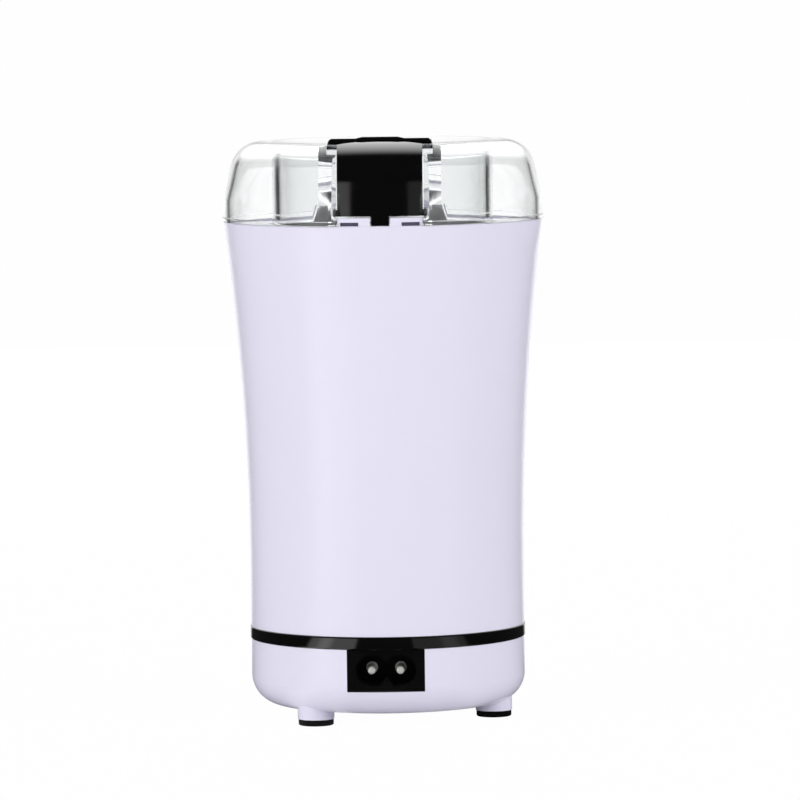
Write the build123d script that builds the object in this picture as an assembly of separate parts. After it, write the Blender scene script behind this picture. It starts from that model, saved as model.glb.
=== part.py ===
from build123d import *
from math import atan2, cos, degrees, pi, radians, sin, sqrt, tan
import os

# Electric coffee grinder: clear lid with a press button, steel bowl and blade, universal motor below.
# Millimetres, +Z up, origin in the middle of the resting plane. The power inlet and the button face -Y.

# Clearances
SLIP = 0.1  # between parts that are put together and stay
PRESS = 0.02  # around a shaft, in a part that is pressed or screwed on it
RUN = 0.04  # around a shaft in its bearing
SLIDE = 0.3  # between parts that move past each other

# Body, band and base
BODY_RADIUS = 41.5
BODY_TOP_RADIUS = 48.2
BODY_HEIGHT = 122.9
STRAIGHT_HEIGHT = 17.0  # upright part of the body below the flare
WALL = 2.2
EDGE_ROUND = 0.5
BAND_HEIGHT = 3.9
BAND_PROUD = 0.35
SLEEVE_WALL = 1.4
SLEEVE_REACH = 2.5  # how far the band's sleeve goes into the base and into the body
BASE_HEIGHT = 20.0
BASE_ROUND = 9.0
FLOOR = 2.2

# Feet and the screws that hold the base
PAD_RADIUS = 5.3
PAD_HEIGHT = 1.9
PAD_PLUG_RADIUS = 2.6
PAD_PLUG_HEIGHT = 1.6
STUB_RADIUS = 5.5
STUB_HEIGHT = 2.3  # below the flat underside of the base
FOOT_INSET = 8.9  # middle of a foot from the side of the base
FOOT_TURN = -41.2  # first foot, degrees from -Y towards +X
SCREW_RADIUS = 1.45
SCREW_HEAD_RADIUS = 2.6
SCREW_HEAD_HEIGHT = 2.0
BORE_DEPTH = 7.1  # from the stub's end up to the seat of the screw head
BOSS_RADIUS = 4.3
BOSS_BELOW_BAND_TOP = 2.1
POST_HEIGHT = 18.0
SCREW_BITE = 14.0  # length of a base screw in its post
RIB = 2.4

# Vents in the base
VENT_COUNT = 5
VENT_LENGTH = 24.0
VENT_WIDTH = 2.4
VENT_PITCH = 5.2

# Power inlet
INLET_WIDTH = 23.1
INLET_HEIGHT = 12.6
INLET_DEPTH = 14.0
INLET_FLANGE = 1.8
PIN_RADIUS = 1.18
PIN_SPACING = 8.6
PIN_BACK_FROM_FACE = 1.2
PIN_COLLAR_RADIUS = 1.75
PIN_COLLAR_LENGTH = 0.8
PIN_TAIL_RADIUS = 0.9
PIN_TAIL_LENGTH = 4.0
RECESS_LOBE = 4.7
RECESS_DEPTH = 11.0
NOTCH_HEIGHT = 2.2
NOTCH_WIDTH = 4.6

# Lid
LID_PROUD = 0.2  # lid's side outside the body's rim
LID_HEIGHT = 24.0
LID_SIDE_HEIGHT = 6.6
LID_TAPER_HEIGHT = 10.0
LID_TAPER = 2.4  # radius lost over the taper
LID_WALL = 2.0
BEAD_HEIGHT = 1.1
BEAD_PROUD = 0.25
SKIRT_GAP = 0.8  # between the skirt and the bowl
SKIRT_WALL = 2.0
SKIRT_DEPTH = 5.0  # below the lid's rim, into the bowl
POCKET_WIDTH = 26.0
POCKET_DEPTH = 15.0  # from the lid's side to the skirt
CHEEK = 2.2
RAIL_ABOVE_RIM = 6.0  # lower end of the thick part of the pocket's sides
LEDGE_HEIGHT = 1.4

# Catches on the body's rim that enter the lid's pocket
CATCH_HEIGHT = 2.4
CATCH_SLOT_HEIGHT = 1.1
CATCH_SLOT_WIDTH = 5.4
CATCH_SLOT_OFFSET = 9.1
CATCH_BACK = 0.4  # wall behind a slot

# Press button
TRAVEL = 2.5
FACE_INSET = 2.4  # button face behind the lid's side
PLATE = 2.0
FACE_ROLL = 12.9  # radius of the round from the button's face to its roof
ROOF_ABOVE_LID = 1.3
WING_SPAN = 30.9
WING_HEIGHT = 1.5  # ends of the button's top, below its roof
WING_ROUND = 0.6
BRIM_RISE = 0.3  # strip along the back of the roof
BRIM_DEPTH = 1.5
BRIM_DROP = 0.9  # bevel at the ends of the brim
RIDGE_WIDTH = 14.6  # finger ridge on the brim
RIDGE_RISE = 0.45
RIDGE_SLOPE = 2.0  # length of the ridge's sloped ends
TONGUE_WIDTH = 5.3
TONGUE_THICK = 3.2
LUG_OUT = 0.9
LUG_SIDE = 1.5
LUG_HEIGHT = 2.0
SPRING_RADIUS = 2.75
SPRING_WIRE = 0.4
SPRING_TURNS = 7
SPRING_FROM_SKIRT = 4.2
GUIDE_RADIUS = 1.9
GUIDE_LENGTH = 8.0
SPRING_LENGTH = 15.5

# Deck and bowl
DECK_BELOW_RIM = 0.6
DECK_HEIGHT = 3.0
DECK_LEDGE = 2.2
DECK_LEDGE_HEIGHT = 1.6
BOWL_GAP = 0.9  # between the bowl and the switch
BOWL_WALL = 0.8
BOWL_DEPTH = 38.5
BOWL_CORNER = 5.0
BOWL_FLANGE = 4.0
GASKET = 0.6
BOWL_SCREW_CIRCLE = 11.0
BOWL_SCREW_HEAD = 1.4
BOWL_SCREW_BITE = 3.0

# Switch below the deck
SWITCH_WIDTH = 19.8
SWITCH_DEPTH = 6.0
SWITCH_HEIGHT = 10.2
SWITCH_BELOW_DECK = 9.4
STEM_SIDE = 2.8
STEM_IN_CASE = 4.6
TERMINAL_SPACING = 13.0
TERMINAL_WIDTH = 4.8
TERMINAL_THICK = 0.8
TERMINAL_LENGTH = 6.8
CLIP_THICK = 2.2
CLIP_DEPTH = 4.2
CLIP_HOOK = 1.1
PLUNGER_WIDTH = 4.8
PLUNGER_THICK = 1.8
PLUNGER_FOOT = 2.2
COLLAR_OUT = 1.0
COLLAR_HEIGHT = 1.5

# Motor plate
PLATE_HEIGHT = 3.0
PLATE_BOSS_RADIUS = 16.0
PLATE_BOSS_HEIGHT = 4.2
PLATE_LEDGE = 2.6
PLATE_SCREW_INSET = 3.3  # middle of a screw from the body's wall
PLATE_SCREW_TURN = 60.0
PLATE_BOSS_DEPTH = 11.0
WIRE_NOTCH_WIDTH = 18.0
SEAL_RADIUS = 6.4
SEAL_LIP = 7.6
SEAL_LIP_HEIGHT = 1.0
SEAL_DEPTH = 5.2
SHAFT_PASS = 4.5

# Motor
SHAFT_RADIUS = 3.0
STATOR_X = 54.0
STATOR_Y = 44.0
STATOR_CORNER = 10.0
STACK_HEIGHT = 22.0
AIR_GAP = 0.4
CORE_RADIUS = 14.0
CORE_SLOTS = 12
SLOT_WIDTH = 2.2
SLOT_INNER = 6.8
SLOT_OUTER = 12.6
SLOT_MOUTH = 1.0
WINDING_RISE = 6.6
NECK_WIDTH = 16.0
COIL_SECTION = 6.0
COIL_THICK = 6.2
COIL_FROM_BORE = 2.1
COIL_ROUND = 3.0
POLE_GAP = 11.0
YOKE = 4.5
BOLT_X = 13.0
BOLT_Y = 19.0
BOLT_RADIUS = 1.5
BOLT_HEAD_RADIUS = 2.7
BOLT_HEAD_HEIGHT = 2.4
BOLT_BITE = 2.2
COLUMN_RADIUS = 3.4
BRACKET_HEIGHT = 3.6
BEARING_RADIUS = 6.0
BEARING_HEIGHT = 6.0
BEARING_WALL = 2.5
ROTOR_GAP = 1.5  # between turning parts and the bearings above and below them
COMMUTATOR_RADIUS = 8.5
COMMUTATOR_HEIGHT = 9.0
COMMUTATOR_BARS = 24
BAR_GROOVE_WIDTH = 0.4
BAR_GROOVE_DEPTH = 0.8
RISER_RADIUS = 9.6
RISER_HEIGHT = 1.4
BRUSH_SIDE = 4.8
BRUSH_LENGTH = 9.4
HOLDER_WALL = 0.9
HOLDER_START = 10.4
HOLDER_LENGTH = 14.0
HOLDER_TAB = 1.2
BRUSH_SPRING_RADIUS = 1.7
BRUSH_SPRING_WIRE = 0.25
BRUSH_SPRING_TURNS = 4
FAN_RADIUS = 17.5
FAN_HEIGHT = 6.6
FAN_DISC = 1.2
FAN_BLADES = 9
VANE_THICK = 1.2
HUB_RADIUS = 6.0

# Blade
BLADE_ABOVE_BOWL = 3.2
BLADE_GAP = 5.7  # between the blade's ends and the bowl
BLADE_THICK = 1.4
BLADE_WIDTH = 12.0
BLADE_TIP_WIDTH = 8.0
BLADE_FLAT = 12.0  # flat part of an arm, from the axis
BLADE_RISE = 4.0
COLLAR_RADIUS = 5.6
NUT_RADIUS = 4.6
NUT_HEX_HEIGHT = 2.8
NUT_CAP_RADIUS = 3.9
NUT_CAP_HEIGHT = 2.8
NUT_CAP_WALL = 1.2

# Wires
WIRE_RADIUS = 1.1
WIRE_BEND = 4.0
WIRE_INSET = 4.8  # rising wires from the body's wall
WIRE_SIDE_X = 27.0  # where the live wire rises beside the motor's lower end
WIRE_SIDE_Y = 21.0

# Heights that follow from the sizes above
BASE_UNDER = PAD_HEIGHT + STUB_HEIGHT
BASE_TOP = BASE_UNDER + BASE_HEIGHT
BAND_TOP = BASE_TOP + BAND_HEIGHT
FLARE_FROM = BAND_TOP + STRAIGHT_HEIGHT
BODY_TOP = BAND_TOP + BODY_HEIGHT
LID_TOP = BODY_TOP + LID_HEIGHT
DECK_TOP = BODY_TOP - DECK_BELOW_RIM
DECK_UNDER = DECK_TOP - DECK_HEIGHT
BOWL_FLOOR = DECK_TOP - BOWL_DEPTH
BOWL_UNDER = BOWL_FLOOR - BOWL_WALL
PLATE_TOP = BOWL_UNDER - PLATE_BOSS_HEIGHT
PLATE_UNDER = PLATE_TOP - PLATE_HEIGHT
UPPER_BEARING = PLATE_UNDER - BEARING_WALL / 2 - BEARING_HEIGHT
FAN_UNDER = UPPER_BEARING - ROTOR_GAP - FAN_HEIGHT
STACK_TOP = FAN_UNDER - ROTOR_GAP - WINDING_RISE
STACK_UNDER = STACK_TOP - STACK_HEIGHT
RISER_TOP = STACK_UNDER - WINDING_RISE - 2 * SLIDE
COMMUTATOR_UNDER = RISER_TOP - RISER_HEIGHT - COMMUTATOR_HEIGHT
LOWER_BEARING = COMMUTATOR_UNDER - ROTOR_GAP - BEARING_HEIGHT
LOWER_PLATE_UNDER = LOWER_BEARING - BEARING_WALL
LOWER_PLATE_TOP = LOWER_PLATE_UNDER + BRACKET_HEIGHT
BOSS_TOP = BAND_TOP - BOSS_BELOW_BAND_TOP

FLARE_RISE = BODY_TOP - FLARE_FROM
FLARE_OUT = BODY_TOP_RADIUS - BODY_RADIUS
INNER_RADIUS = BODY_RADIUS - WALL
LEAN = atan2(LID_TAPER, LID_TAPER_HEIGHT)


def bore_radius(height):
    """Inner radius of the body shell: straight, then a parabola that starts upright."""
    rise = max(0.0, height - FLARE_FROM)
    return INNER_RADIUS + FLARE_OUT * (rise / FLARE_RISE) ** 2


# Radii that follow from the sizes above
LID_RADIUS = BODY_TOP_RADIUS + LID_PROUD
FOOT_CIRCLE = BODY_RADIUS - FOOT_INSET
PLATE_SCREW_CIRCLE = bore_radius(PLATE_UNDER - PLATE_BOSS_DEPTH) - PLATE_SCREW_INSET
WIRE_OUT = INNER_RADIUS - WIRE_INSET
SWITCH_TOP = DECK_UNDER - SWITCH_BELOW_DECK
SWITCH_UNDER = SWITCH_TOP - SWITCH_HEIGHT
SWITCH_BACK = sqrt((bore_radius(SWITCH_UNDER) - SLIDE) ** 2 - (SWITCH_WIDTH / 2) ** 2)
SWITCH_AT = SWITCH_BACK - SWITCH_DEPTH / 2
BOWL_RADIUS = SWITCH_BACK - SWITCH_DEPTH - BOWL_GAP - BOWL_WALL
SKIRT_RADIUS = min(BOWL_RADIUS - SKIRT_GAP, LID_RADIUS - POCKET_DEPTH)
BLADE_RADIUS = BOWL_RADIUS - BLADE_GAP


def flare(radius):
    """Parabola of the flare in radius and height, starting upright at this radius."""
    middle = (FLARE_FROM + BODY_TOP) / 2
    return Bezier((radius, FLARE_FROM), (radius, middle), (radius + FLARE_OUT, BODY_TOP))


def tube(outer, inner, low, high):
    """Ring about Z between two heights."""
    return Pos(0, 0, low) * extrude(Circle(outer) - Circle(inner), high - low)


def rod(radius, low, high, x=0.0, y=0.0):
    """Upright cylinder between two heights."""
    return Pos(x, y, low) * extrude(Circle(radius), high - low)


def block(x_low, x_high, y_low, y_high, z_low, z_high):
    """Box between two corners."""
    middle = Pos((x_low + x_high) / 2, (y_low + y_high) / 2, (z_low + z_high) / 2)
    return middle * Box(x_high - x_low, y_high - y_low, z_high - z_low)


def section(*points, rounds=()):
    """Closed outline in radius and height, with rounds given as pairs of a corner's number and a radius."""
    face = make_face(Polyline(*points, close=True))
    for corner, radius in rounds:
        at = Vector(*points[corner])
        vertex = min(face.vertices(), key=lambda v: (Vector(v.X, v.Y) - at).length)
        face = fillet(vertex, radius)
    return face


def turned(face):
    """Solid of revolution about Z of an outline in radius and height."""
    return revolve(Plane.XZ * face, Axis.Z)


def along_y(sketch, y_from, y_to):
    """Solid with this outline in X and Z, between two depths (the first nearer -Y)."""
    return extrude(Plane.XZ.offset(-y_to) * sketch, y_to - y_from)


def foot_places():
    """Middles of the three feet."""
    turns = [radians(FOOT_TURN + 120 * number) for number in range(3)]
    return [(FOOT_CIRCLE * sin(turn), -FOOT_CIRCLE * cos(turn)) for turn in turns]


def bolt_places():
    """Middles of the four motor bolts."""
    return [(BOLT_X, BOLT_Y), (-BOLT_X, BOLT_Y), (-BOLT_X, -BOLT_Y), (BOLT_X, -BOLT_Y)]


def plate_screw_places():
    """Middles of the three screws of the motor plate."""
    turns = [radians(PLATE_SCREW_TURN + 120 * number) for number in range(3)]
    return [(PLATE_SCREW_CIRCLE * cos(turn), PLATE_SCREW_CIRCLE * sin(turn)) for turn in turns]


def bowl_screw_places():
    """Middles of the three screws in the bowl's floor."""
    turns = [radians(90 + 120 * number) for number in range(3)]
    return [(BOWL_SCREW_CIRCLE * cos(turn), BOWL_SCREW_CIRCLE * sin(turn)) for turn in turns]


def screw(x, y, seat, tip, radius, head_radius, head_height, upwards):
    """Plain screw with its head on the seat, the shank going up or down to the tip."""
    if upwards:
        shank = rod(radius, seat, tip, x, y)
        head = rod(head_radius, seat - head_height, seat, x, y)
    else:
        shank = rod(radius, tip, seat, x, y)
        head = rod(head_radius, seat, seat + head_height, x, y)
    return shank + head


def helix(radius, length, turns):
    """Path of a coil along +Z: two tangent arcs for each quarter turn."""
    climb = length / turns
    count = 4 * turns
    flat = 2 * pi * radius / sqrt((2 * pi * radius) ** 2 + climb**2)
    steep = climb / sqrt((2 * pi * radius) ** 2 + climb**2)
    spots = []
    for number in range(count + 1):
        turn = number * pi / 2
        spot = Vector(radius * cos(turn), radius * sin(turn), length * number / count)
        heading = Vector(-flat * sin(turn), flat * cos(turn), steep)
        spots.append((spot, heading))
    edges = []
    for (start, leave), (end, arrive) in zip(spots, spots[1:]):
        gap = end - start
        bend = 2 * leave.dot(arrive) - 2
        lean = -2 * gap.dot(leave + arrive)
        reach = (-lean - sqrt(lean**2 - 4 * bend * gap.dot(gap))) / (2 * bend)
        first = start + leave * reach
        second = end - arrive * reach
        middle = (first + second) * 0.5
        edges.append(TangentArc(start, middle, tangent=leave))
        edges.append(TangentArc(middle, end, tangent=second - first))
    return Wire(edges)


def coil_spring(radius, wire, length, turns):
    """Round wire wound along +Z, as long as given over its ends."""
    path = Pos(0, 0, wire) * helix(radius, length - 2 * wire, turns)
    return sweep((path ^ 0) * Circle(wire), path=path)


def least_coil_gap(radius, wire, length, turns):
    """Smallest distance between the surfaces of neighbouring turns, measured on points of the path."""
    path = helix(radius, length - 2 * wire, turns)
    steps = 40 * turns
    spots = [path @ (number / steps) for number in range(steps + 1)]
    far = [
        (spots[i] - spots[j]).length
        for i in range(steps + 1)
        for j in range(i + 20, steps + 1)
    ]
    return min(far) - 2 * wire


def wire_run(*points):
    """Insulated wire along straight runs joined by arcs."""
    path = FilletPolyline(*points, radius=WIRE_BEND)
    return sweep((path ^ 0) * Circle(WIRE_RADIUS), path=path)


# Power inlet: face flush with the base at its two upright edges
INLET_FACE = sqrt(BODY_RADIUS**2 - (INLET_WIDTH / 2) ** 2)
INLET_TOP = BASE_TOP - SLIP
INLET_UNDER = INLET_TOP - INLET_HEIGHT
INLET_MIDDLE = (INLET_TOP + INLET_UNDER) / 2
INLET_BACK = INLET_FACE - INLET_DEPTH
FLANGE_FACE = sqrt(INNER_RADIUS**2 - (INLET_WIDTH / 2 + INLET_FLANGE) ** 2) - 2 * SLIP
RECESS_BACK = INLET_FACE - RECESS_DEPTH
PIN_TIP = INLET_FACE - PIN_BACK_FROM_FACE
TAIL_END = INLET_BACK - PIN_TAIL_LENGTH


def make_base_cup():
    """Base with a rounded lower edge, stub feet, screw bosses, inlet opening and vents."""
    outer = section(
        (0, BASE_UNDER), (BODY_RADIUS, BASE_UNDER), (BODY_RADIUS, BASE_TOP), (0, BASE_TOP),
        rounds=[(1, BASE_ROUND)],
    )
    inner = section(
        (0, BASE_UNDER + FLOOR), (INNER_RADIUS, BASE_UNDER + FLOOR),
        (INNER_RADIUS, BASE_TOP + 1), (0, BASE_TOP + 1),
        rounds=[(1, BASE_ROUND - FLOOR)],
    )
    cup = turned(outer) - turned(inner)
    seat = PAD_HEIGHT + BORE_DEPTH
    for x, y in foot_places():
        cup += rod(STUB_RADIUS, PAD_HEIGHT, seat, x, y)
        cup += rod(BOSS_RADIUS, seat, BOSS_TOP, x, y)
    half = INLET_WIDTH / 2
    floor = BASE_UNDER + FLOOR / 2
    cup += turned(outer) & block(-half + 3, half - 3, -FLANGE_FACE, -INLET_BACK, floor, INLET_UNDER)
    stop_from = FLANGE_FACE - INLET_FLANGE - SLIP
    for side in (-1, 1):
        near, far = sorted((side * (half - 1), side * (half + INLET_FLANGE)))
        cup += turned(outer) & block(near, far, -stop_from, -stop_from + RIB, floor, INLET_MIDDLE)
    cup -= block(-half - SLIP, half + SLIP, -BODY_RADIUS - 1, -FLANGE_FACE, INLET_UNDER, BASE_TOP + 1)
    for x, y in foot_places():
        cup -= rod(SCREW_HEAD_RADIUS + 2 * SLIP, PAD_HEIGHT - 1, seat, x, y)
        cup -= rod(SCREW_RADIUS + 2 * SLIP, seat - 1, BOSS_TOP + 1, x, y)
    for number in range(VENT_COUNT):
        y = (number - (VENT_COUNT - 1) / 2) * VENT_PITCH
        slot = extrude(SlotOverall(VENT_LENGTH, VENT_WIDTH), FLOOR + 2)
        cup -= Pos(0, y, BASE_UNDER - 1) * slot
    return cup


def make_foot_pad(x, y):
    """Rubber pad with a plug that fills the screw bore."""
    pad = fillet(rod(PAD_RADIUS, 0, PAD_HEIGHT).edges().group_by(Axis.Z)[0], EDGE_ROUND)
    plug = rod(PAD_PLUG_RADIUS, PAD_HEIGHT, PAD_HEIGHT + PAD_PLUG_HEIGHT)
    return Pos(x, y, 0) * (pad + plug)


def make_base_screw(x, y):
    """Screw from a foot bore into a post of the body."""
    seat = PAD_HEIGHT + BORE_DEPTH
    tip = BOSS_TOP + SCREW_BITE
    return screw(x, y, seat, tip, SCREW_RADIUS, SCREW_HEAD_RADIUS, SCREW_HEAD_HEIGHT, True)


def make_trim_band():
    """Ring between base and body, with a sleeve that reaches into both."""
    sleeve = INNER_RADIUS - 2 * SLIP
    outer = BODY_RADIUS + BAND_PROUD
    face = section(
        (sleeve - SLEEVE_WALL, BASE_TOP - SLEEVE_REACH), (sleeve, BASE_TOP - SLEEVE_REACH),
        (sleeve, BASE_TOP), (outer, BASE_TOP), (outer, BAND_TOP), (sleeve, BAND_TOP),
        (sleeve, BAND_TOP + SLEEVE_REACH), (sleeve - SLEEVE_WALL, BAND_TOP + SLEEVE_REACH),
        rounds=[(3, EDGE_ROUND), (4, EDGE_ROUND)],
    )
    half = INLET_WIDTH / 2 + INLET_FLANGE + SLIDE
    way = block(-half, half, -BODY_RADIUS - 2, 0, BASE_TOP - SLEEVE_REACH - 1, BASE_TOP)
    return turned(face) - way


def make_inlet_socket():
    """Black two-pin inlet: front in the base's wall, flange behind the wall, figure-8 recess."""
    half = INLET_WIDTH / 2
    front = block(-half, half, -INLET_FACE, -FLANGE_FACE, INLET_UNDER, INLET_TOP)
    wide = half + INLET_FLANGE
    flange = block(-wide, wide, -FLANGE_FACE, -FLANGE_FACE + INLET_FLANGE, INLET_UNDER, INLET_TOP)
    rear = block(-half + 1, half - 1, -FLANGE_FACE, -INLET_BACK, INLET_UNDER, INLET_TOP - 1)
    recess = SlotCenterToCenter(PIN_SPACING, 2 * RECESS_LOBE)
    for side in (-1, 1):
        edge = side * RECESS_LOBE
        tip = edge - side * NOTCH_HEIGHT
        recess -= make_face(
            Polyline((-NOTCH_WIDTH / 2, edge + side), (-NOTCH_WIDTH / 2, edge), (0, tip),
                     (NOTCH_WIDTH / 2, edge), (NOTCH_WIDTH / 2, edge + side), close=True)
        )
    hollow = along_y(Pos(0, INLET_MIDDLE) * recess, -INLET_FACE - 1, -RECESS_BACK)
    socket = front + flange + rear - hollow
    for side in (-1, 1):
        hole = Pos(side * PIN_SPACING / 2, INLET_MIDDLE) * Circle(PIN_RADIUS + SLIP)
        socket -= along_y(hole, -RECESS_BACK - 1, -INLET_BACK + 1)
    return socket


def make_inlet_pin(x):
    """Contact pin with a rounded tip, a collar on the recess floor and a tail behind the socket."""
    middle = Pos(x, INLET_MIDDLE)
    pin = along_y(middle * Circle(PIN_RADIUS), -PIN_TIP, -INLET_BACK)
    pin = fillet(pin.edges().group_by(Axis.Y)[0], PIN_RADIUS * 0.6)
    collar = along_y(middle * Circle(PIN_COLLAR_RADIUS), -RECESS_BACK - PIN_COLLAR_LENGTH, -RECESS_BACK)
    tail = along_y(middle * Circle(PIN_TAIL_RADIUS), -INLET_BACK, -TAIL_END)
    return pin + collar + tail


def make_body_shell():
    """Waisted body: straight, then flaring, with ledges for the deck and the motor plate and screw posts."""
    wall = make_face([
        Line((INNER_RADIUS, BAND_TOP), (BODY_RADIUS, BAND_TOP)),
        Line((BODY_RADIUS, BAND_TOP), (BODY_RADIUS, FLARE_FROM)),
        flare(BODY_RADIUS),
        Line((BODY_TOP_RADIUS, BODY_TOP), (BODY_TOP_RADIUS - WALL, BODY_TOP)),
        flare(INNER_RADIUS),
        Line((INNER_RADIUS, FLARE_FROM), (INNER_RADIUS, BAND_TOP)),
    ])
    corner = max(wall.vertices(), key=lambda v: v.X + v.Y)
    shell = turned(fillet(corner, EDGE_ROUND))
    for seat, width, height, opening in (
        (DECK_UNDER, DECK_LEDGE, DECK_LEDGE_HEIGHT, PLUNGER_WIDTH + 2 * (COLLAR_OUT + SLIDE)),
        (PLATE_UNDER, PLATE_LEDGE, PLATE_LEDGE, WIRE_NOTCH_WIDTH),
    ):
        bore = bore_radius(seat - height)
        ledge = tube(bore + WALL / 2, bore - width, seat - height, seat)
        ledge -= block(-opening / 2, opening / 2, -BODY_TOP_RADIUS, 0, seat - height - 1, seat + 1)
        shell += ledge
    catch_top = BODY_TOP + CATCH_HEIGHT
    slot_top = BODY_TOP + CATCH_SLOT_HEIGHT
    catches = tube(BODY_TOP_RADIUS - EDGE_ROUND, CATCH_IN, BODY_TOP - EDGE_ROUND, catch_top)
    slots = tube(BODY_TOP_RADIUS, CATCH_IN + CATCH_BACK, BODY_TOP, slot_top)
    half = POCKET_WIDTH / 2 - SLIDE
    gap = TONGUE_WIDTH / 2 + SLIDE
    for side in (-1, 1):
        low, high = sorted((side * gap, side * half))
        catch = catches & block(low, high, -BODY_TOP_RADIUS, 0, BODY_TOP - 1, catch_top + 1)
        low = side * CATCH_SLOT_OFFSET - CATCH_SLOT_WIDTH / 2
        high = side * CATCH_SLOT_OFFSET + CATCH_SLOT_WIDTH / 2
        shell += catch - (slots & block(low, high, -BODY_TOP_RADIUS - 1, 0, BODY_TOP - 1, slot_top + 1))
    for x, y in plate_screw_places():
        low = PLATE_UNDER - PLATE_BOSS_DEPTH
        inside = rod(bore_radius(low) + WALL / 2, low, PLATE_UNDER)
        shell += rod(BOSS_RADIUS, low, PLATE_UNDER, x, y) & inside
    rib_from = BAND_TOP + SLEEVE_REACH + SLIP
    for x, y in foot_places():
        shell += rod(BOSS_RADIUS, BOSS_TOP, BOSS_TOP + POST_HEIGHT, x, y)
        reach = INNER_RADIUS + WALL / 2 - FOOT_CIRCLE
        rib = block(0, reach, -RIB / 2, RIB / 2, rib_from, BOSS_TOP + POST_HEIGHT)
        shell += Pos(x, y, 0) * Rot(0, 0, degrees(atan2(y, x))) * rib
    for x, y in foot_places():
        shell -= rod(SCREW_RADIUS + PRESS, BOSS_TOP - 1, BOSS_TOP + SCREW_BITE + 1, x, y)
    for x, y in plate_screw_places():
        shell -= rod(SCREW_RADIUS + PRESS, PLATE_UNDER - PLATE_BOSS_DEPTH + 1, PLATE_UNDER + 1, x, y)
    return shell


# Button, tongue and switch: distances from the axis, towards -Y
FACE_RADIUS = LID_RADIUS - FACE_INSET
CATCH_IN = FACE_RADIUS + SLIDE
ROOF = LID_TOP + ROOF_ABOVE_LID
WING_UNDER = ROOF - WING_HEIGHT
FACE_UNDER = BODY_TOP + SLIDE + TRAVEL
TONGUE_OUT = bore_radius(DECK_UNDER) - SLIDE
TONGUE_IN = TONGUE_OUT - TONGUE_THICK
TONGUE_UNDER = DECK_TOP + SLIDE
LEDGE_TOP = BODY_TOP + LEDGE_HEIGHT
LEDGE_RADIUS = FACE_RADIUS - PLATE - 2 * SLIDE
POCKET_BACK = SKIRT_RADIUS + SLIDE
SPRING_AT = SKIRT_RADIUS + SPRING_FROM_SKIRT
SPRING_TOP = LEDGE_TOP + SPRING_LENGTH
LUG_AT = sqrt((FACE_RADIUS - PLATE / 2) ** 2 - (POCKET_WIDTH / 2) ** 2)
PLUNGER_TOP = TONGUE_UNDER - SLIDE
PLUNGER_UNDER = SWITCH_TOP + TRAVEL + SLIDE
PLUNGER_OUT = bore_radius(PLUNGER_UNDER - TRAVEL) - SLIDE
PLUNGER_IN = PLUNGER_OUT - PLUNGER_THICK


def dome(inset):
    """Outline of the lid: upright side, taper, round shoulder, flat top, moved in by the inset."""
    side_top = BODY_TOP + LID_SIDE_HEIGHT - inset * tan(LEAN / 2)
    taper_top = BODY_TOP + LID_SIDE_HEIGHT + LID_TAPER_HEIGHT
    shoulder = (LID_TOP - taper_top) / (1 - sin(LEAN))
    middle = (LID_RADIUS - LID_TAPER - shoulder * cos(LEAN), LID_TOP - shoulder)

    def on_shoulder(turn):
        size = shoulder - inset
        return (middle[0] + size * cos(turn), middle[1] + size * sin(turn))

    side = LID_RADIUS - inset
    top = LID_TOP - inset
    return make_face([
        Line((0, BODY_TOP), (side, BODY_TOP)),
        Line((side, BODY_TOP), (side, side_top)),
        Line((side, side_top), on_shoulder(LEAN)),
        ThreePointArc(on_shoulder(LEAN), on_shoulder((LEAN + pi / 2) / 2), on_shoulder(pi / 2)),
        Line(on_shoulder(pi / 2), (0, top)),
        Line((0, top), (0, BODY_TOP)),
    ])


def button_form(inset, low):
    """Outline of the button: an upright face that rolls over into a flat roof, moved in by the inset."""
    side = FACE_RADIUS - inset
    top = ROOF - inset
    return section((0, low), (side, low), (side, top), (0, top), rounds=[(2, FACE_ROLL - inset)])


def make_lid_shell():
    """Clear lid: dome, rim bead, skirt into the bowl, and a stepped pocket for the button."""
    lid = turned(dome(0))
    bead_in = LID_RADIUS - LID_WALL / 2
    bead_out = LID_RADIUS + BEAD_PROUD
    bead_top = BODY_TOP + BEAD_HEIGHT
    lid += turned(section(
        (bead_in, BODY_TOP), (bead_out, BODY_TOP), (bead_out, bead_top),
        (bead_in, bead_top + bead_out - bead_in),
    ))
    lid += rod(SKIRT_RADIUS, BODY_TOP - SKIRT_DEPTH, BODY_TOP + 1)
    lid -= rod(SKIRT_RADIUS - SKIRT_WALL, BODY_TOP - SKIRT_DEPTH - 1, LID_TOP - LID_WALL)
    half = POCKET_WIDTH / 2
    wide = WING_SPAN / 2 + SLIDE
    near = -LID_RADIUS - 2
    moat = dome(LID_WALL)
    moat -= Pos(0, BODY_TOP) * Rectangle(2 * SKIRT_RADIUS, 4 * LID_HEIGHT)
    moat = turned(moat) - block(-half - CHEEK, half + CHEEK, near, 0, BODY_TOP - 1, LID_TOP + 1)
    moat -= block(-wide - CHEEK, wide + CHEEK, near, 0, BODY_TOP + RAIL_ABOVE_RIM, LID_TOP + 1)
    lid -= moat
    back = rod(POCKET_BACK, BODY_TOP - 2, LID_TOP + 4)
    slot = TONGUE_WIDTH / 2 + SLIDE
    ledge = rod(LEDGE_RADIUS, BODY_TOP - 2, LEDGE_TOP)
    ledge -= block(-slot, slot, near, -TONGUE_IN + SLIDE, BODY_TOP - 3, LEDGE_TOP + 1)
    lid -= block(-half, half, near, 0, BODY_TOP - 1, LID_TOP + 3) - back - ledge
    step = WING_UNDER - TRAVEL - SLIDE
    lid -= block(-wide, wide, near, 0, step, LID_TOP + 3) - back
    groove = half + LUG_OUT + SLIDE
    deep = LUG_SIDE / 2 + SLIDE
    lug_top = FACE_UNDER + LUG_HEIGHT + SLIDE
    lid -= block(-groove, groove, -LUG_AT - deep, -LUG_AT + deep, BODY_TOP - 1, lug_top)
    return lid


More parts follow.
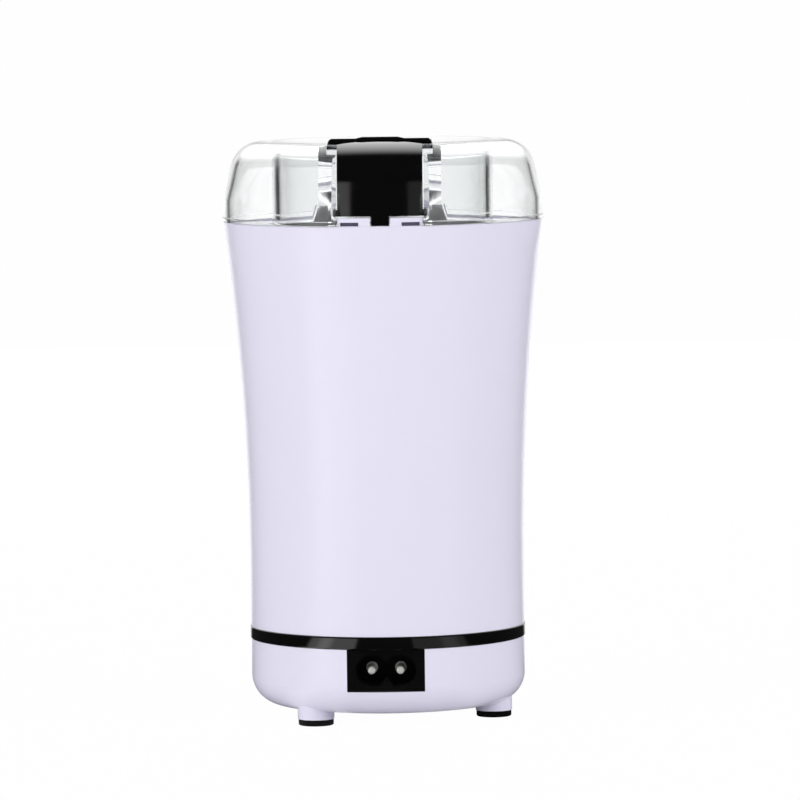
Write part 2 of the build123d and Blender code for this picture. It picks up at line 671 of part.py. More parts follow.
def make_press_button():
    """Black button: rolled face plate with side walls, winged top with a brim, tongue, spring guide."""
    half = POCKET_WIDTH / 2 - SLIDE
    inner = POCKET_BACK + SLIDE
    near = -LID_RADIUS - 2
    full = turned(button_form(0, FACE_UNDER))
    hollow = turned(button_form(PLATE, FACE_UNDER - 1))
    core = rod(inner, FACE_UNDER - 1, ROOF + 1)
    button = (full - hollow - core) & block(-half, half, near, 0, FACE_UNDER, ROOF + 1)
    wall_under = LEDGE_TOP + TRAVEL + SLIDE
    for side in (-1, 1):
        low, high = sorted((side * (half - PLATE), side * half))
        button += (full & block(low, high, near, 0, wall_under, ROOF)) - core
    wide = WING_SPAN / 2
    wings = (full & block(-wide, wide, near, 0, WING_UNDER, ROOF + 1)) - core
    curved = wings.edges().filter_by(GeomType.LINE, reverse=True)
    button += fillet(curved.filter_by(lambda edge: abs(edge.center().X) > wide - 0.01), WING_ROUND)
    brim_top = ROOF + BRIM_RISE
    ridge = RIDGE_WIDTH / 2
    outline = [
        (wide, WING_UNDER), (wide, brim_top - BRIM_DROP), (wide - BRIM_DROP, brim_top),
        (ridge, brim_top), (ridge - RIDGE_SLOPE, brim_top + RIDGE_RISE),
    ]
    outline += [(-x, z) for x, z in reversed(outline)]
    button += along_y(make_face(Polyline(*outline, close=True)), -inner - BRIM_DEPTH, -inner)
    tongue = TONGUE_WIDTH / 2
    button += block(-tongue, tongue, -TONGUE_OUT, -TONGUE_IN, TONGUE_UNDER, FACE_UNDER + TONGUE_WIDTH)
    lug = half + LUG_OUT
    lug_top = FACE_UNDER + LUG_HEIGHT
    lugs = block(-lug, lug, -LUG_AT - LUG_SIDE / 2, -LUG_AT + LUG_SIDE / 2, FACE_UNDER, lug_top)
    button += lugs - block(-half + PLATE, half - PLATE, near, 0, FACE_UNDER - 1, lug_top + 1)
    button += full & rod(SPRING_RADIUS + SPRING_WIRE, SPRING_TOP, ROOF, 0, -SPRING_AT)
    button += rod(GUIDE_RADIUS, SPRING_TOP - GUIDE_LENGTH, SPRING_TOP, 0, -SPRING_AT)
    return button


def make_button_spring():
    """Spring between the lid's ledge and the button."""
    spring = coil_spring(SPRING_RADIUS, SPRING_WIRE, SPRING_LENGTH, SPRING_TURNS)
    return Pos(0, -SPRING_AT, LEDGE_TOP) * spring


def make_top_deck():
    """Ring around the bowl, with a way for the plunger and two clips that hold the switch."""
    flange = BOWL_RADIUS + BOWL_WALL + BOWL_FLANGE + SLIP
    seat = DECK_TOP - BOWL_WALL - GASKET
    hole = BOWL_RADIUS + BOWL_WALL + SLIP
    deck = turned(section(
        (hole, DECK_UNDER), (bore_radius(DECK_UNDER) - SLIP, DECK_UNDER),
        (bore_radius(DECK_TOP) - SLIP, DECK_TOP), (flange, DECK_TOP), (flange, seat), (hole, seat),
    ))
    edge = SWITCH_WIDTH / 2
    for side in (-1, 1):
        inner = side * (edge + SLIP)
        low, high = sorted((inner, inner + side * CLIP_THICK))
        back = -SWITCH_AT - CLIP_DEPTH / 2
        deck += block(low, high, back, back + CLIP_DEPTH, SWITCH_UNDER - CLIP_HOOK, DECK_UNDER)
        low, high = sorted((inner, inner - side * CLIP_HOOK))
        deck += block(low, high, back, back + CLIP_DEPTH, SWITCH_UNDER - CLIP_HOOK, SWITCH_UNDER)
        deck += block(low, high, back, back + CLIP_DEPTH, SWITCH_TOP, SWITCH_TOP + CLIP_HOOK)
    half = TONGUE_WIDTH / 2 + SLIDE
    way_in = min(PLUNGER_IN, TONGUE_IN) - SLIDE
    deck -= block(-half, half, -BODY_TOP_RADIUS, -way_in, DECK_UNDER - 1, DECK_TOP + 1)
    return deck


def make_bowl_gasket():
    """Flat ring below the bowl's flange."""
    inner = BOWL_RADIUS + BOWL_WALL + 3 * SLIP
    seat = DECK_TOP - BOWL_WALL - GASKET
    return tube(BOWL_RADIUS + BOWL_WALL + BOWL_FLANGE - SLIP, inner, seat, seat + GASKET)


def make_grinding_bowl():
    """Pressed steel bowl with a flat floor, a round corner and a flange at the top."""
    outer = BOWL_RADIUS + BOWL_WALL
    hole = SEAL_RADIUS + SLIP
    under = DECK_TOP - BOWL_WALL
    bowl = turned(section(
        (hole, BOWL_UNDER), (outer, BOWL_UNDER), (outer, under), (outer + BOWL_FLANGE, under),
        (outer + BOWL_FLANGE, DECK_TOP), (BOWL_RADIUS, DECK_TOP), (BOWL_RADIUS, BOWL_FLOOR),
        (hole, BOWL_FLOOR),
        rounds=[(1, BOWL_CORNER + BOWL_WALL), (6, BOWL_CORNER), (5, BOWL_WALL)],
    ))
    for x, y in bowl_screw_places():
        bowl -= rod(SCREW_RADIUS + SLIP, BOWL_UNDER - 1, BOWL_FLOOR + 1, x, y)
    return bowl


def make_bowl_screw(x, y):
    """Screw through the bowl's floor into the motor plate."""
    tip = BOWL_UNDER - BOWL_SCREW_BITE
    return screw(x, y, BOWL_FLOOR, tip, SCREW_RADIUS, SCREW_HEAD_RADIUS, BOWL_SCREW_HEAD, False)


def make_shaft_seal():
    """Rubber ring around the shaft, with a lip on the bowl's floor."""
    body = tube(SEAL_RADIUS, SHAFT_RADIUS + RUN, BOWL_FLOOR - SEAL_DEPTH, BOWL_FLOOR)
    return body + tube(SEAL_LIP, SHAFT_RADIUS + RUN, BOWL_FLOOR, BOWL_FLOOR + SEAL_LIP_HEIGHT)


def make_motor_plate():
    """Plate that carries the motor below and the bowl on a boss above."""
    plate = rod(bore_radius(PLATE_UNDER) - SLIP, PLATE_UNDER, PLATE_TOP)
    plate += rod(PLATE_BOSS_RADIUS, PLATE_TOP, BOWL_UNDER)
    plate -= rod(SHAFT_PASS, PLATE_UNDER - 1, BOWL_UNDER + 1)
    plate -= rod(SEAL_RADIUS + SLIP, BOWL_FLOOR - SEAL_DEPTH, BOWL_UNDER + 1)
    for x, y in plate_screw_places():
        plate -= rod(SCREW_RADIUS + 2 * SLIP, PLATE_UNDER - 1, PLATE_TOP + 1, x, y)
    for x, y in bolt_places():
        plate -= rod(BOLT_RADIUS + PRESS, PLATE_UNDER - 1, PLATE_UNDER + BOLT_BITE + SLIP, x, y)
    for x, y in bowl_screw_places():
        plate -= rod(SCREW_RADIUS + PRESS, BOWL_UNDER - BOWL_SCREW_BITE - SLIP, BOWL_UNDER + 1, x, y)
    half = WIRE_NOTCH_WIDTH / 2
    inner = WIRE_OUT - WIRE_RADIUS - SLIDE
    return plate - block(-half, half, -BODY_TOP_RADIUS, -inner, PLATE_UNDER - 1, PLATE_TOP + 1)


def make_plate_screw(x, y):
    """Screw through the motor plate into the body."""
    tip = PLATE_UNDER - PLATE_BOSS_DEPTH + 2
    return screw(x, y, PLATE_TOP, tip, SCREW_RADIUS, SCREW_HEAD_RADIUS, SCREW_HEAD_HEIGHT, False)


def make_bracket(plate_low, plate_high, column_low, column_high, boss_low, boss_high, bore_low, bore_high):
    """Motor bracket: plate, four columns on the stator and a boss for the bearing."""
    outline = RectangleRounded(2 * (BOLT_X + COLUMN_RADIUS), 2 * (BOLT_Y + COLUMN_RADIUS), COLUMN_RADIUS)
    bracket = Pos(0, 0, plate_low) * extrude(outline, plate_high - plate_low)
    for x, y in bolt_places():
        bracket += rod(COLUMN_RADIUS, column_low, column_high, x, y)
    bracket += rod(BEARING_RADIUS + BEARING_WALL, boss_low, boss_high)
    bracket -= rod(BEARING_RADIUS + PRESS, bore_low, bore_high)
    low = min(plate_low, column_low) - 1
    high = max(plate_high, column_high) + 1
    for x, y in bolt_places():
        bracket -= rod(BOLT_RADIUS + SLIP, low, high, x, y)
    return bracket


# Shaft, blade and brushes
SHAFT_UNDER = LOWER_BEARING + SLIDE
BRUSH_HEIGHT = COMMUTATOR_UNDER + COMMUTATOR_HEIGHT / 2
BLADE_UNDER = BOWL_FLOOR + BLADE_ABOVE_BOWL
NUT_UNDER = BLADE_UNDER + BLADE_THICK
SHAFT_TOP = NUT_UNDER + NUT_HEX_HEIGHT + NUT_CAP_HEIGHT - NUT_CAP_WALL - SLIP
HOLDER_END = HOLDER_START + HOLDER_LENGTH
TAB_END = HOLDER_END + HOLDER_TAB
BRUSH_START = COMMUTATOR_RADIUS + SLIP
BRUSH_END = BRUSH_START + BRUSH_LENGTH


def make_lower_bracket():
    """Bracket below the stator, with a closed bearing seat."""
    bracket = make_bracket(
        LOWER_PLATE_UNDER, LOWER_PLATE_TOP, LOWER_PLATE_TOP, STACK_UNDER,
        LOWER_PLATE_UNDER, LOWER_BEARING + BEARING_HEIGHT, LOWER_BEARING, LOWER_BEARING + BEARING_HEIGHT + 1,
    )
    return bracket


def make_upper_bracket():
    """Bracket above the stator, screwed below the motor plate."""
    bracket = make_bracket(
        PLATE_UNDER - BRACKET_HEIGHT, PLATE_UNDER, STACK_TOP, PLATE_UNDER - BRACKET_HEIGHT,
        UPPER_BEARING, PLATE_UNDER, UPPER_BEARING - 1, UPPER_BEARING + BEARING_HEIGHT,
    )
    return bracket - rod(SHAFT_PASS, UPPER_BEARING, PLATE_UNDER + 1)


def make_bearing(low):
    """Plain bearing bush."""
    return tube(BEARING_RADIUS, SHAFT_RADIUS + RUN, low, low + BEARING_HEIGHT)


def make_motor_bolt(x, y):
    """Bolt from the lower bracket through the stator into the motor plate."""
    tip = PLATE_UNDER + BOLT_BITE
    return screw(x, y, LOWER_PLATE_UNDER, tip, BOLT_RADIUS, BOLT_HEAD_RADIUS, BOLT_HEAD_HEIGHT, True)


# Field coils sit on the pole necks, along X from the axis
COIL_NEAR = CORE_RADIUS + AIR_GAP + COIL_FROM_BORE
COIL_FAR = COIL_NEAR + COIL_THICK


def make_stator_stack():
    """Two-pole stator: yoke, pole necks and horns, with windows for the coils."""
    plan = RectangleRounded(STATOR_X, STATOR_Y, STATOR_CORNER) - Circle(CORE_RADIUS + AIR_GAP)
    plan -= Rectangle(POLE_GAP, STATOR_Y - 2 * YOKE)
    window = Rectangle(COIL_THICK + 2 * SLIP, COIL_SECTION + 2 * SLIP)
    for side in (-1, 1):
        for end in (-1, 1):
            x = side * (COIL_NEAR + COIL_FAR) / 2
            y = end * (NECK_WIDTH / 2 + SLIP + COIL_SECTION / 2)
            plan -= Pos(x, y) * window
    for x, y in bolt_places():
        plan -= Pos(x, y) * Circle(BOLT_RADIUS + SLIP)
    return Pos(0, 0, STACK_UNDER) * extrude(plan, STACK_HEIGHT)


def make_field_coil(side):
    """Wound loop around one pole neck."""
    inner_y = NECK_WIDTH + 2 * SLIP
    inner_z = STACK_HEIGHT + 2 * SLIP
    outer = RectangleRounded(inner_y + 2 * COIL_SECTION, inner_z + 2 * COIL_SECTION, COIL_ROUND)
    loop = Plane.YZ * (outer - Rectangle(inner_y, inner_z))
    near = COIL_NEAR if side > 0 else -COIL_FAR
    return Pos(near, 0, (STACK_UNDER + STACK_TOP) / 2) * extrude(loop, COIL_THICK)


def make_brush_holder(side):
    """Square tube that guides a brush, on a foot on the lower bracket, closed by a cap with a tab."""
    hole = BRUSH_SIDE / 2 + SLIP
    outer = hole + HOLDER_WALL
    body = block(-outer, outer, HOLDER_START, HOLDER_END, BRUSH_HEIGHT - outer, BRUSH_HEIGHT + outer)
    foot_from = BEARING_RADIUS + BEARING_WALL + 2
    body += block(-outer, outer, foot_from + 2, HOLDER_END - 2, LOWER_PLATE_TOP, BRUSH_HEIGHT - hole)
    cap = HOLDER_END - HOLDER_WALL
    body -= block(-hole, hole, HOLDER_START - 1, cap, BRUSH_HEIGHT - hole, BRUSH_HEIGHT + hole)
    tab = along_y(Pos(0, BRUSH_HEIGHT) * Circle(WIRE_RADIUS), HOLDER_END - HOLDER_WALL / 2, TAB_END)
    return turn_to(side, body + tab)


def turn_to(side, shape):
    """Leaves a part on the +Y side or turns it half round to the -Y side."""
    return shape if side > 0 else Rot(0, 0, 180) * shape


def make_carbon_brush(side):
    """Carbon block on the commutator."""
    half = BRUSH_SIDE / 2
    brush = block(-half, half, BRUSH_START, BRUSH_END, BRUSH_HEIGHT - half, BRUSH_HEIGHT + half)
    return turn_to(side, brush)


def make_brush_spring(side):
    """Spring that presses a brush on the commutator."""
    length = HOLDER_END - HOLDER_WALL - BRUSH_END
    spring = coil_spring(BRUSH_SPRING_RADIUS, BRUSH_SPRING_WIRE, length, BRUSH_SPRING_TURNS)
    return turn_to(side, Pos(0, BRUSH_END, BRUSH_HEIGHT) * Rot(-90, 0, 0) * spring)


def make_motor_shaft():
    """Shaft from the lower bearing up into the blade nut."""
    return rod(SHAFT_RADIUS, SHAFT_UNDER, SHAFT_TOP)


def make_armature_core():
    """Slotted core pressed on the shaft."""
    plan = Circle(CORE_RADIUS) - Circle(SHAFT_RADIUS + PRESS)
    long = SLOT_OUTER - SLOT_INNER
    slot = Pos((SLOT_OUTER + SLOT_INNER) / 2, 0) * Rectangle(long, SLOT_WIDTH)
    slot += Pos(CORE_RADIUS, 0) * Rectangle(2 * (CORE_RADIUS - SLOT_OUTER) + SLIP, SLOT_MOUTH)
    for number in range(CORE_SLOTS):
        plan -= Rot(0, 0, 360 * number / CORE_SLOTS) * slot
    return Pos(0, 0, STACK_UNDER) * extrude(plan, STACK_HEIGHT)


def make_armature_winding():
    """Winding: bars in the slots of the core, joined by rounded heads above and below it."""
    inner = SLOT_INNER + SLIP
    outer = SLOT_OUTER - SLIP
    winding = Part()
    for low in (STACK_UNDER - SLIP - WINDING_RISE, STACK_TOP + SLIP):
        head = section(
            (inner, low), (outer, low), (outer, low + WINDING_RISE), (inner, low + WINDING_RISE),
            rounds=[(1, WINDING_RISE / 4), (2, WINDING_RISE / 4)],
        )
        winding += turned(head)
    half = SLOT_WIDTH / 2 - SLIP
    bar = block(inner, outer, -half, half, STACK_UNDER - WINDING_RISE / 2, STACK_TOP + WINDING_RISE / 2)
    for number in range(CORE_SLOTS):
        winding += Rot(0, 0, 360 * number / CORE_SLOTS) * bar
    return winding


def make_commutator():
    """Grooved copper drum with risers at its upper end."""
    drum = rod(COMMUTATOR_RADIUS, COMMUTATOR_UNDER, COMMUTATOR_UNDER + COMMUTATOR_HEIGHT)
    drum += rod(RISER_RADIUS, RISER_TOP - RISER_HEIGHT, RISER_TOP)
    drum -= rod(SHAFT_RADIUS + PRESS, COMMUTATOR_UNDER - 1, RISER_TOP + 1)
    deep = COMMUTATOR_RADIUS - BAR_GROOVE_DEPTH
    half = BAR_GROOVE_WIDTH / 2
    groove = block(deep, RISER_RADIUS + 1, -half, half, COMMUTATOR_UNDER - 1, RISER_TOP + 1)
    for number in range(COMMUTATOR_BARS):
        drum -= Rot(0, 0, 360 * number / COMMUTATOR_BARS) * groove
    return drum


def make_cooling_fan():
    """Radial fan above the stator."""
    top = FAN_UNDER + FAN_HEIGHT
    fan = rod(FAN_RADIUS, FAN_UNDER, FAN_UNDER + FAN_DISC) + rod(HUB_RADIUS, FAN_UNDER, top)
    half = VANE_THICK / 2
    vane = block(HUB_RADIUS - 1, FAN_RADIUS - half, -half, half, FAN_UNDER, top)
    for number in range(FAN_BLADES):
        fan += Rot(0, 0, 360 * number / FAN_BLADES) * vane
    return fan - rod(SHAFT_RADIUS + PRESS, FAN_UNDER - 1, top + 1)


def make_blade_collar():
    """Spacer on the shaft between the seal and the blade."""
    low = BOWL_FLOOR + SEAL_LIP_HEIGHT + SLIDE
    return tube(COLLAR_RADIUS, SHAFT_RADIUS + PRESS, low, BLADE_UNDER)


def make_blade():
    """Two-armed steel blade, its arms bent up beyond the flat middle."""
    tip = BLADE_RADIUS + 2
    rise = BLADE_RISE * (tip - BLADE_FLAT) / (BLADE_RADIUS - BLADE_FLAT)
    low = BLADE_UNDER
    high = BLADE_UNDER + BLADE_THICK
    side_view = make_face(Polyline(
        (-tip, low + rise), (-BLADE_FLAT, low), (BLADE_FLAT, low), (tip, low + rise),
        (tip, high + rise), (BLADE_FLAT, high), (-BLADE_FLAT, high), (-tip, high + rise), close=True,
    ))
    bar = along_y(side_view, -BLADE_WIDTH, BLADE_WIDTH)
    wide = BLADE_WIDTH / 2
    narrow = BLADE_TIP_WIDTH / 2
    plan = make_face(Polyline(
        (-tip, -narrow), (-COLLAR_RADIUS, -wide), (COLLAR_RADIUS, -wide), (tip, -narrow),
        (tip, narrow), (COLLAR_RADIUS, wide), (-COLLAR_RADIUS, wide), (-tip, narrow), close=True,
    ))
    plan = (plan & Circle(BLADE_RADIUS)) - Circle(SHAFT_RADIUS + PRESS)
    return bar & (Pos(0, 0, low - 1) * extrude(plan, rise + BLADE_THICK + 2))


def make_blade_nut():
    """Cap nut on the shaft's end."""
    hexagon = Pos(0, 0, NUT_UNDER) * extrude(RegularPolygon(NUT_RADIUS, 6), NUT_HEX_HEIGHT)
    cap_low = NUT_UNDER + NUT_HEX_HEIGHT
    cap = rod(NUT_CAP_RADIUS, cap_low, cap_low + NUT_CAP_HEIGHT)
    cap = fillet(cap.edges().group_by(Axis.Z)[-1], NUT_CAP_HEIGHT * 0.7)
    return hexagon + cap - rod(SHAFT_RADIUS + PRESS, NUT_UNDER - 1, SHAFT_TOP + SLIP)


def make_switch_case():
    """Push switch between the deck's clips, with a well for its stem."""
    half = SWITCH_WIDTH / 2
    deep = SWITCH_DEPTH / 2
    case = block(-half, half, -SWITCH_AT - deep, -SWITCH_AT + deep, SWITCH_UNDER, SWITCH_TOP)
    well = STEM_SIDE / 2 + SLIDE
    low = SWITCH_TOP - STEM_IN_CASE - TRAVEL - SLIDE
    return case - block(-well, well, -SWITCH_AT - well, -SWITCH_AT + well, low, SWITCH_TOP + 1)


def make_switch_terminal(side):
    """Flat terminal below the switch."""
    x = side * TERMINAL_SPACING / 2
    wide = TERMINAL_WIDTH / 2
    thick = TERMINAL_THICK / 2
    low = SWITCH_UNDER - TERMINAL_LENGTH
    return block(x - wide, x + wide, -SWITCH_AT - thick, -SWITCH_AT + thick, low, SWITCH_UNDER)


def make_switch_stem():
    """Square stem of the switch, below the plunger's foot."""
    half = STEM_SIDE / 2
    low = SWITCH_TOP - STEM_IN_CASE
    return block(-half, half, -SWITCH_AT - half, -SWITCH_AT + half, low, PLUNGER_UNDER)


def make_switch_plunger():
    """Bar below the button's tongue, with a stop collar below the deck and a foot over the switch."""
    half = PLUNGER_WIDTH / 2
    bar = block(-half, half, -PLUNGER_OUT, -PLUNGER_IN, PLUNGER_UNDER, PLUNGER_TOP)
    foot_in = SWITCH_AT - STEM_SIDE / 2
    bar += block(-half, half, -PLUNGER_OUT, -foot_in, PLUNGER_UNDER, PLUNGER_UNDER + PLUNGER_FOOT)
    wide = half + COLLAR_OUT
    high = DECK_UNDER - SLIDE
    return bar + block(-wide, wide, -PLUNGER_OUT, -PLUNGER_IN, high - COLLAR_HEIGHT, high)


def make_wires():
    """Live and switched wires to the switch, neutral wire to the back brush."""
    pin_x = PIN_SPACING / 2
    top = SWITCH_UNDER - TERMINAL_LENGTH
    near_x = TERMINAL_SPACING / 2
    turn = PLATE_UNDER - 2 * WIRE_BEND
    over = PLATE_TOP + 2 * WIRE_BEND
    loop = -TAIL_END + 2.2 * WIRE_BEND
    live = wire_run(
        (pin_x, -TAIL_END, INLET_MIDDLE), (pin_x, loop, INLET_MIDDLE),
        (WIRE_SIDE_X, -WIRE_SIDE_Y, INLET_MIDDLE), (WIRE_SIDE_X, -WIRE_SIDE_Y, LOWER_PLATE_TOP),
        (near_x, -WIRE_OUT, STACK_UNDER), (near_x, -WIRE_OUT, turn), (near_x, -SWITCH_AT, over),
        (near_x, -SWITCH_AT, top),
    )
    switched = wire_run(
        (-near_x, -SWITCH_AT, top), (-near_x, -SWITCH_AT, over), (-near_x, -WIRE_OUT, turn),
        (-near_x, -WIRE_OUT, BRUSH_HEIGHT), (0, -WIRE_OUT, BRUSH_HEIGHT), (0, -TAB_END, BRUSH_HEIGHT),
    )
    back = TAB_END + 2 * WIRE_BEND
    neutral = wire_run(
        (-pin_x, -TAIL_END, INLET_MIDDLE), (-pin_x, 0, INLET_MIDDLE), (0, back, INLET_MIDDLE),
        (0, back, BRUSH_HEIGHT), (0, TAB_END, BRUSH_HEIGHT),
    )
    return {"wire_live": live, "wire_switched": switched, "wire_neutral": neutral}


pieces = {
    "base_cup": make_base_cup(),
    "trim_band": make_trim_band(),
    "inlet_socket": make_inlet_socket(),
    "inlet_pin_left": make_inlet_pin(-PIN_SPACING / 2),
    "inlet_pin_right": make_inlet_pin(PIN_SPACING / 2),
    "body_shell": make_body_shell(),
    "lid_shell": make_lid_shell(),
    "press_button": make_press_button(),
    "button_spring": make_button_spring(),
    "top_deck": make_top_deck(),
    "bowl_gasket": make_bowl_gasket(),
    "grinding_bowl": make_grinding_bowl(),
    "shaft_seal": make_shaft_seal(),
    "motor_plate": make_motor_plate(),
    "upper_bracket": make_upper_bracket(),
    "lower_bracket": make_lower_bracket(),
    "upper_bearing": make_bearing(UPPER_BEARING),
    "lower_bearing": make_bearing(LOWER_BEARING),
    "stator_stack": make_stator_stack(),
    "field_coil_left": make_field_coil(-1),
    "field_coil_right": make_field_coil(1),
    "motor_shaft": make_motor_shaft(),
    "armature_core": make_armature_core(),
    "armature_winding": make_armature_winding(),
    "commutator": make_commutator(),
    "cooling_fan": make_cooling_fan(),
    "blade_collar": make_blade_collar(),
    "blade": make_blade(),
    "blade_nut": make_blade_nut(),
    "switch_case": make_switch_case(),
    "switch_stem": make_switch_stem(),
    "switch_plunger": make_switch_plunger(),
}
for side, place in ((-1, "front"), (1, "back")):
    pieces[f"brush_holder_{place}"] = make_brush_holder(side)
    pieces[f"carbon_brush_{place}"] = make_carbon_brush(side)
    pieces[f"brush_spring_{place}"] = make_brush_spring(side)
for side, place in ((-1, "left"), (1, "right")):
    pieces[f"switch_terminal_{place}"] = make_switch_terminal(side)
for number, (x, y) in enumerate(foot_places(), start=1):
    pieces[f"foot_pad_{number}"] = make_foot_pad(x, y)
    pieces[f"base_screw_{number}"] = make_base_screw(x, y)
for number, (x, y) in enumerate(plate_screw_places(), start=1):
    pieces[f"plate_screw_{number}"] = make_plate_screw(x, y)
for number, (x, y) in enumerate(bowl_screw_places(), start=1):
    pieces[f"bowl_screw_{number}"] = make_bowl_screw(x, y)
for number, (x, y) in enumerate(bolt_places(), start=1):
    pieces[f"motor_bolt_{number}"] = make_motor_bolt(x, y)
pieces.update(make_wires())

os.makedirs("parts", exist_ok=True)
for name, shape in pieces.items():
    export_step(shape, f"parts/{name}.step")

button_gap = least_coil_gap(SPRING_RADIUS, SPRING_WIRE, SPRING_LENGTH, SPRING_TURNS)
brush_length = HOLDER_END - HOLDER_WALL - BRUSH_END
brush_gap = least_coil_gap(BRUSH_SPRING_RADIUS, BRUSH_SPRING_WIRE, brush_length, BRUSH_SPRING_TURNS)
print(f"{len(pieces)} parts")
print(f"least gap between turns: button spring {button_gap:.2f} mm, brush springs {brush_gap:.2f} mm")
print(f"wire radius {WIRE_RADIUS} mm, bends {WIRE_BEND} mm")
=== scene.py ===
"""Looks of an electric coffee grinder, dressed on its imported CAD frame.

Lengths are in metres, +Z is up, and the power inlet is towards -Y.
"""

import logging
from dataclasses import dataclass
from enum import Enum
from math import cos, pi, radians, sin

import bpy
import numpy as np
from mathutils import Matrix, Vector


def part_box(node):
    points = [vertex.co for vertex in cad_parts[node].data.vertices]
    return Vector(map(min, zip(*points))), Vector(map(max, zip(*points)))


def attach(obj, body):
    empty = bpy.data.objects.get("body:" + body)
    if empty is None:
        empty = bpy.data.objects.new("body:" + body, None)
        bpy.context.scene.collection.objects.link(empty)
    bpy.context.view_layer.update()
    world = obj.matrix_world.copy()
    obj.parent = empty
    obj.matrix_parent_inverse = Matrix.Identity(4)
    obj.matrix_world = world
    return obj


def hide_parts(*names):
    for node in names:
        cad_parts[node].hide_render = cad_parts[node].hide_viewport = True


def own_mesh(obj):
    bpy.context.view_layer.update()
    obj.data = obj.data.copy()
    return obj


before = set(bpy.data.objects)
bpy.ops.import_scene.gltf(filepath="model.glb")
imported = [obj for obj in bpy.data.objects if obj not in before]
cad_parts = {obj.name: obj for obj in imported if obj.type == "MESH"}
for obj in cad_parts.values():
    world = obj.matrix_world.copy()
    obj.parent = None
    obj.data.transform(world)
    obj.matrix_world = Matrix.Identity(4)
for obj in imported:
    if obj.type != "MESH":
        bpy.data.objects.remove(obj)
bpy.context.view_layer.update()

log = logging.getLogger("grinder")

Colour = tuple[float, float, float]
Shares = tuple[float, float, float]
Range = tuple[float, float]
Surface = tuple[np.ndarray, list]
Socket = bpy.types.NodeSocket
Level = bpy.types.NodeSocket | float

MM = 0.001
SMOOTH_ANGLE = radians(32)
WELD = 1e-6
WHITE = (1.0, 1.0, 1.0, 1.0)
NOISE_SPAN = (0.3, 0.7)  # where most values of a noise lie


def linear(colour: Colour) -> tuple[float, float, float, float]:
    """Scene-linear RGBA of a colour written as 0 to 255 on screen.

    Args:
        colour: red, green and blue as they look on screen.

    Returns:
        The colour a shader socket takes.
    """
    share = np.array(colour, float) / 255
    low = share / 12.92
    high = ((share + 0.055) / 1.055) ** 2.4
    return (*np.where(share <= 0.04045, low, high).tolist(), 1.0)


class Step(Enum):
    """Way of going from one limit to the other."""

    EVEN = "LINEAR"
    SOFT = "SMOOTHSTEP"


class Sum(Enum):
    """Ways to join two values."""

    TIMES = "MULTIPLY"
    LARGER = "MAXIMUM"
    SMALLER = "MINIMUM"


class Wiring:
    """A node tree in the making."""

    def __init__(self, tree: bpy.types.NodeTree) -> None:
        """Starts from an empty tree.

        Args:
            tree: the tree, whose nodes are removed.
        """
        self.tree = tree
        self.tree.nodes.clear()

    def node(self, kind: str, **settings: object) -> bpy.types.Node:
        """A new node of this kind, with its plain settings.

        Args:
            kind: Blender's name of the node.
            settings: properties to set on it.

        Returns:
            The node.
        """
        made = self.tree.nodes.new(kind)
        for name, value in settings.items():
            setattr(made, name, value)
        return made

    def link(self, source: Level, target: Socket) -> None:
        """Joins two sockets, or sets the second to a number.

        Args:
            source: a socket or a number.
            target: the socket that takes it.
        """
        if isinstance(source, bpy.types.NodeSocket):
            self.tree.links.new(source, target)
        else:
            target.default_value = source

    def mapped(self, value: Level, span: Range, limits: Range, step: Step = Step.EVEN) -> Socket:
        """Carries a value from one span to another, and stops at its limits.

        Args:
            value: what is followed.
            span: values at which the limits are reached.
            limits: results there.
            step: the way between them.

        Returns:
            The result's socket.
        """
        made = self.node("ShaderNodeMapRange", interpolation_type=step.value)
        for name, number in zip(("From Min", "From Max", "To Min", "To Max"), (*span, *limits)):
            made.inputs[name].default_value = number
        self.link(value, made.inputs["Value"])
        return made.outputs["Result"]

    def ramp(self, value: Level, span: Range, limits: Range) -> Socket:
        """Soft step between two limits."""
        return self.mapped(value, span, limits, Step.SOFT)

    def joined(self, how: Sum, first: Level, second: Level) -> Socket:
        """Two values joined into one.

        Args:
            how: the way they are joined.
            first: one value.
            second: the other.

        Returns:
            The result's socket.
        """
        made = self.node("ShaderNodeMath", operation=how.value)
        self.link(first, made.inputs[0])
        self.link(second, made.inputs[1])
        return made.outputs["Value"]

    def either(self, switch: Socket, off: Level, on: Level) -> Socket:
        """One of two values, chosen by a switch.

        Args:
            switch: 0 or 1.
            off: the value at 0.
            on: the value at 1.

        Returns:
            The chosen value's socket.
        """
        made = self.node("ShaderNodeMix", data_type="FLOAT")
        self.link(switch, made.inputs["Factor"])
        self.link(off, made.inputs["A"])
        self.link(on, made.inputs["B"])
        return made.outputs["Result"]

    def vector(self, kind: str, first: Socket, second: Shares | None = None) -> bpy.types.Node:
        """A sum on vectors.

        Args:
            kind: Blender's name of the sum.
            first: the vector.
            second: a fixed vector, where the sum takes two.

        Returns:
            The node, with its outputs Vector and Value.
        """
        made = self.node("ShaderNodeVectorMath", operation=kind)
        self.link(first, made.inputs[0])
        if second is not None:
            made.inputs[1].default_value = second
        return made

    def apart(self, vector: Socket) -> bpy.types.NodeOutputs:
        """The X, Y and Z of a vector.

        Args:
            vector: the vector's socket.

        Returns:
            Sockets by the names X, Y and Z.
        """
        made = self.node("ShaderNodeSeparateXYZ")
        self.link(vector, made.inputs["Vector"])
        return made.outputs

    def together(self, x: Socket, y: Socket) -> Socket:
        """A vector of an X and a Y, its Z being 0.

        Args:
            x: socket of the first value.
            y: socket of the second.

        Returns:
            The vector's socket.
        """
        made = self.node("ShaderNodeCombineXYZ")
        self.link(x, made.inputs["X"])
        self.link(y, made.inputs["Y"])
        return made.outputs["Vector"]


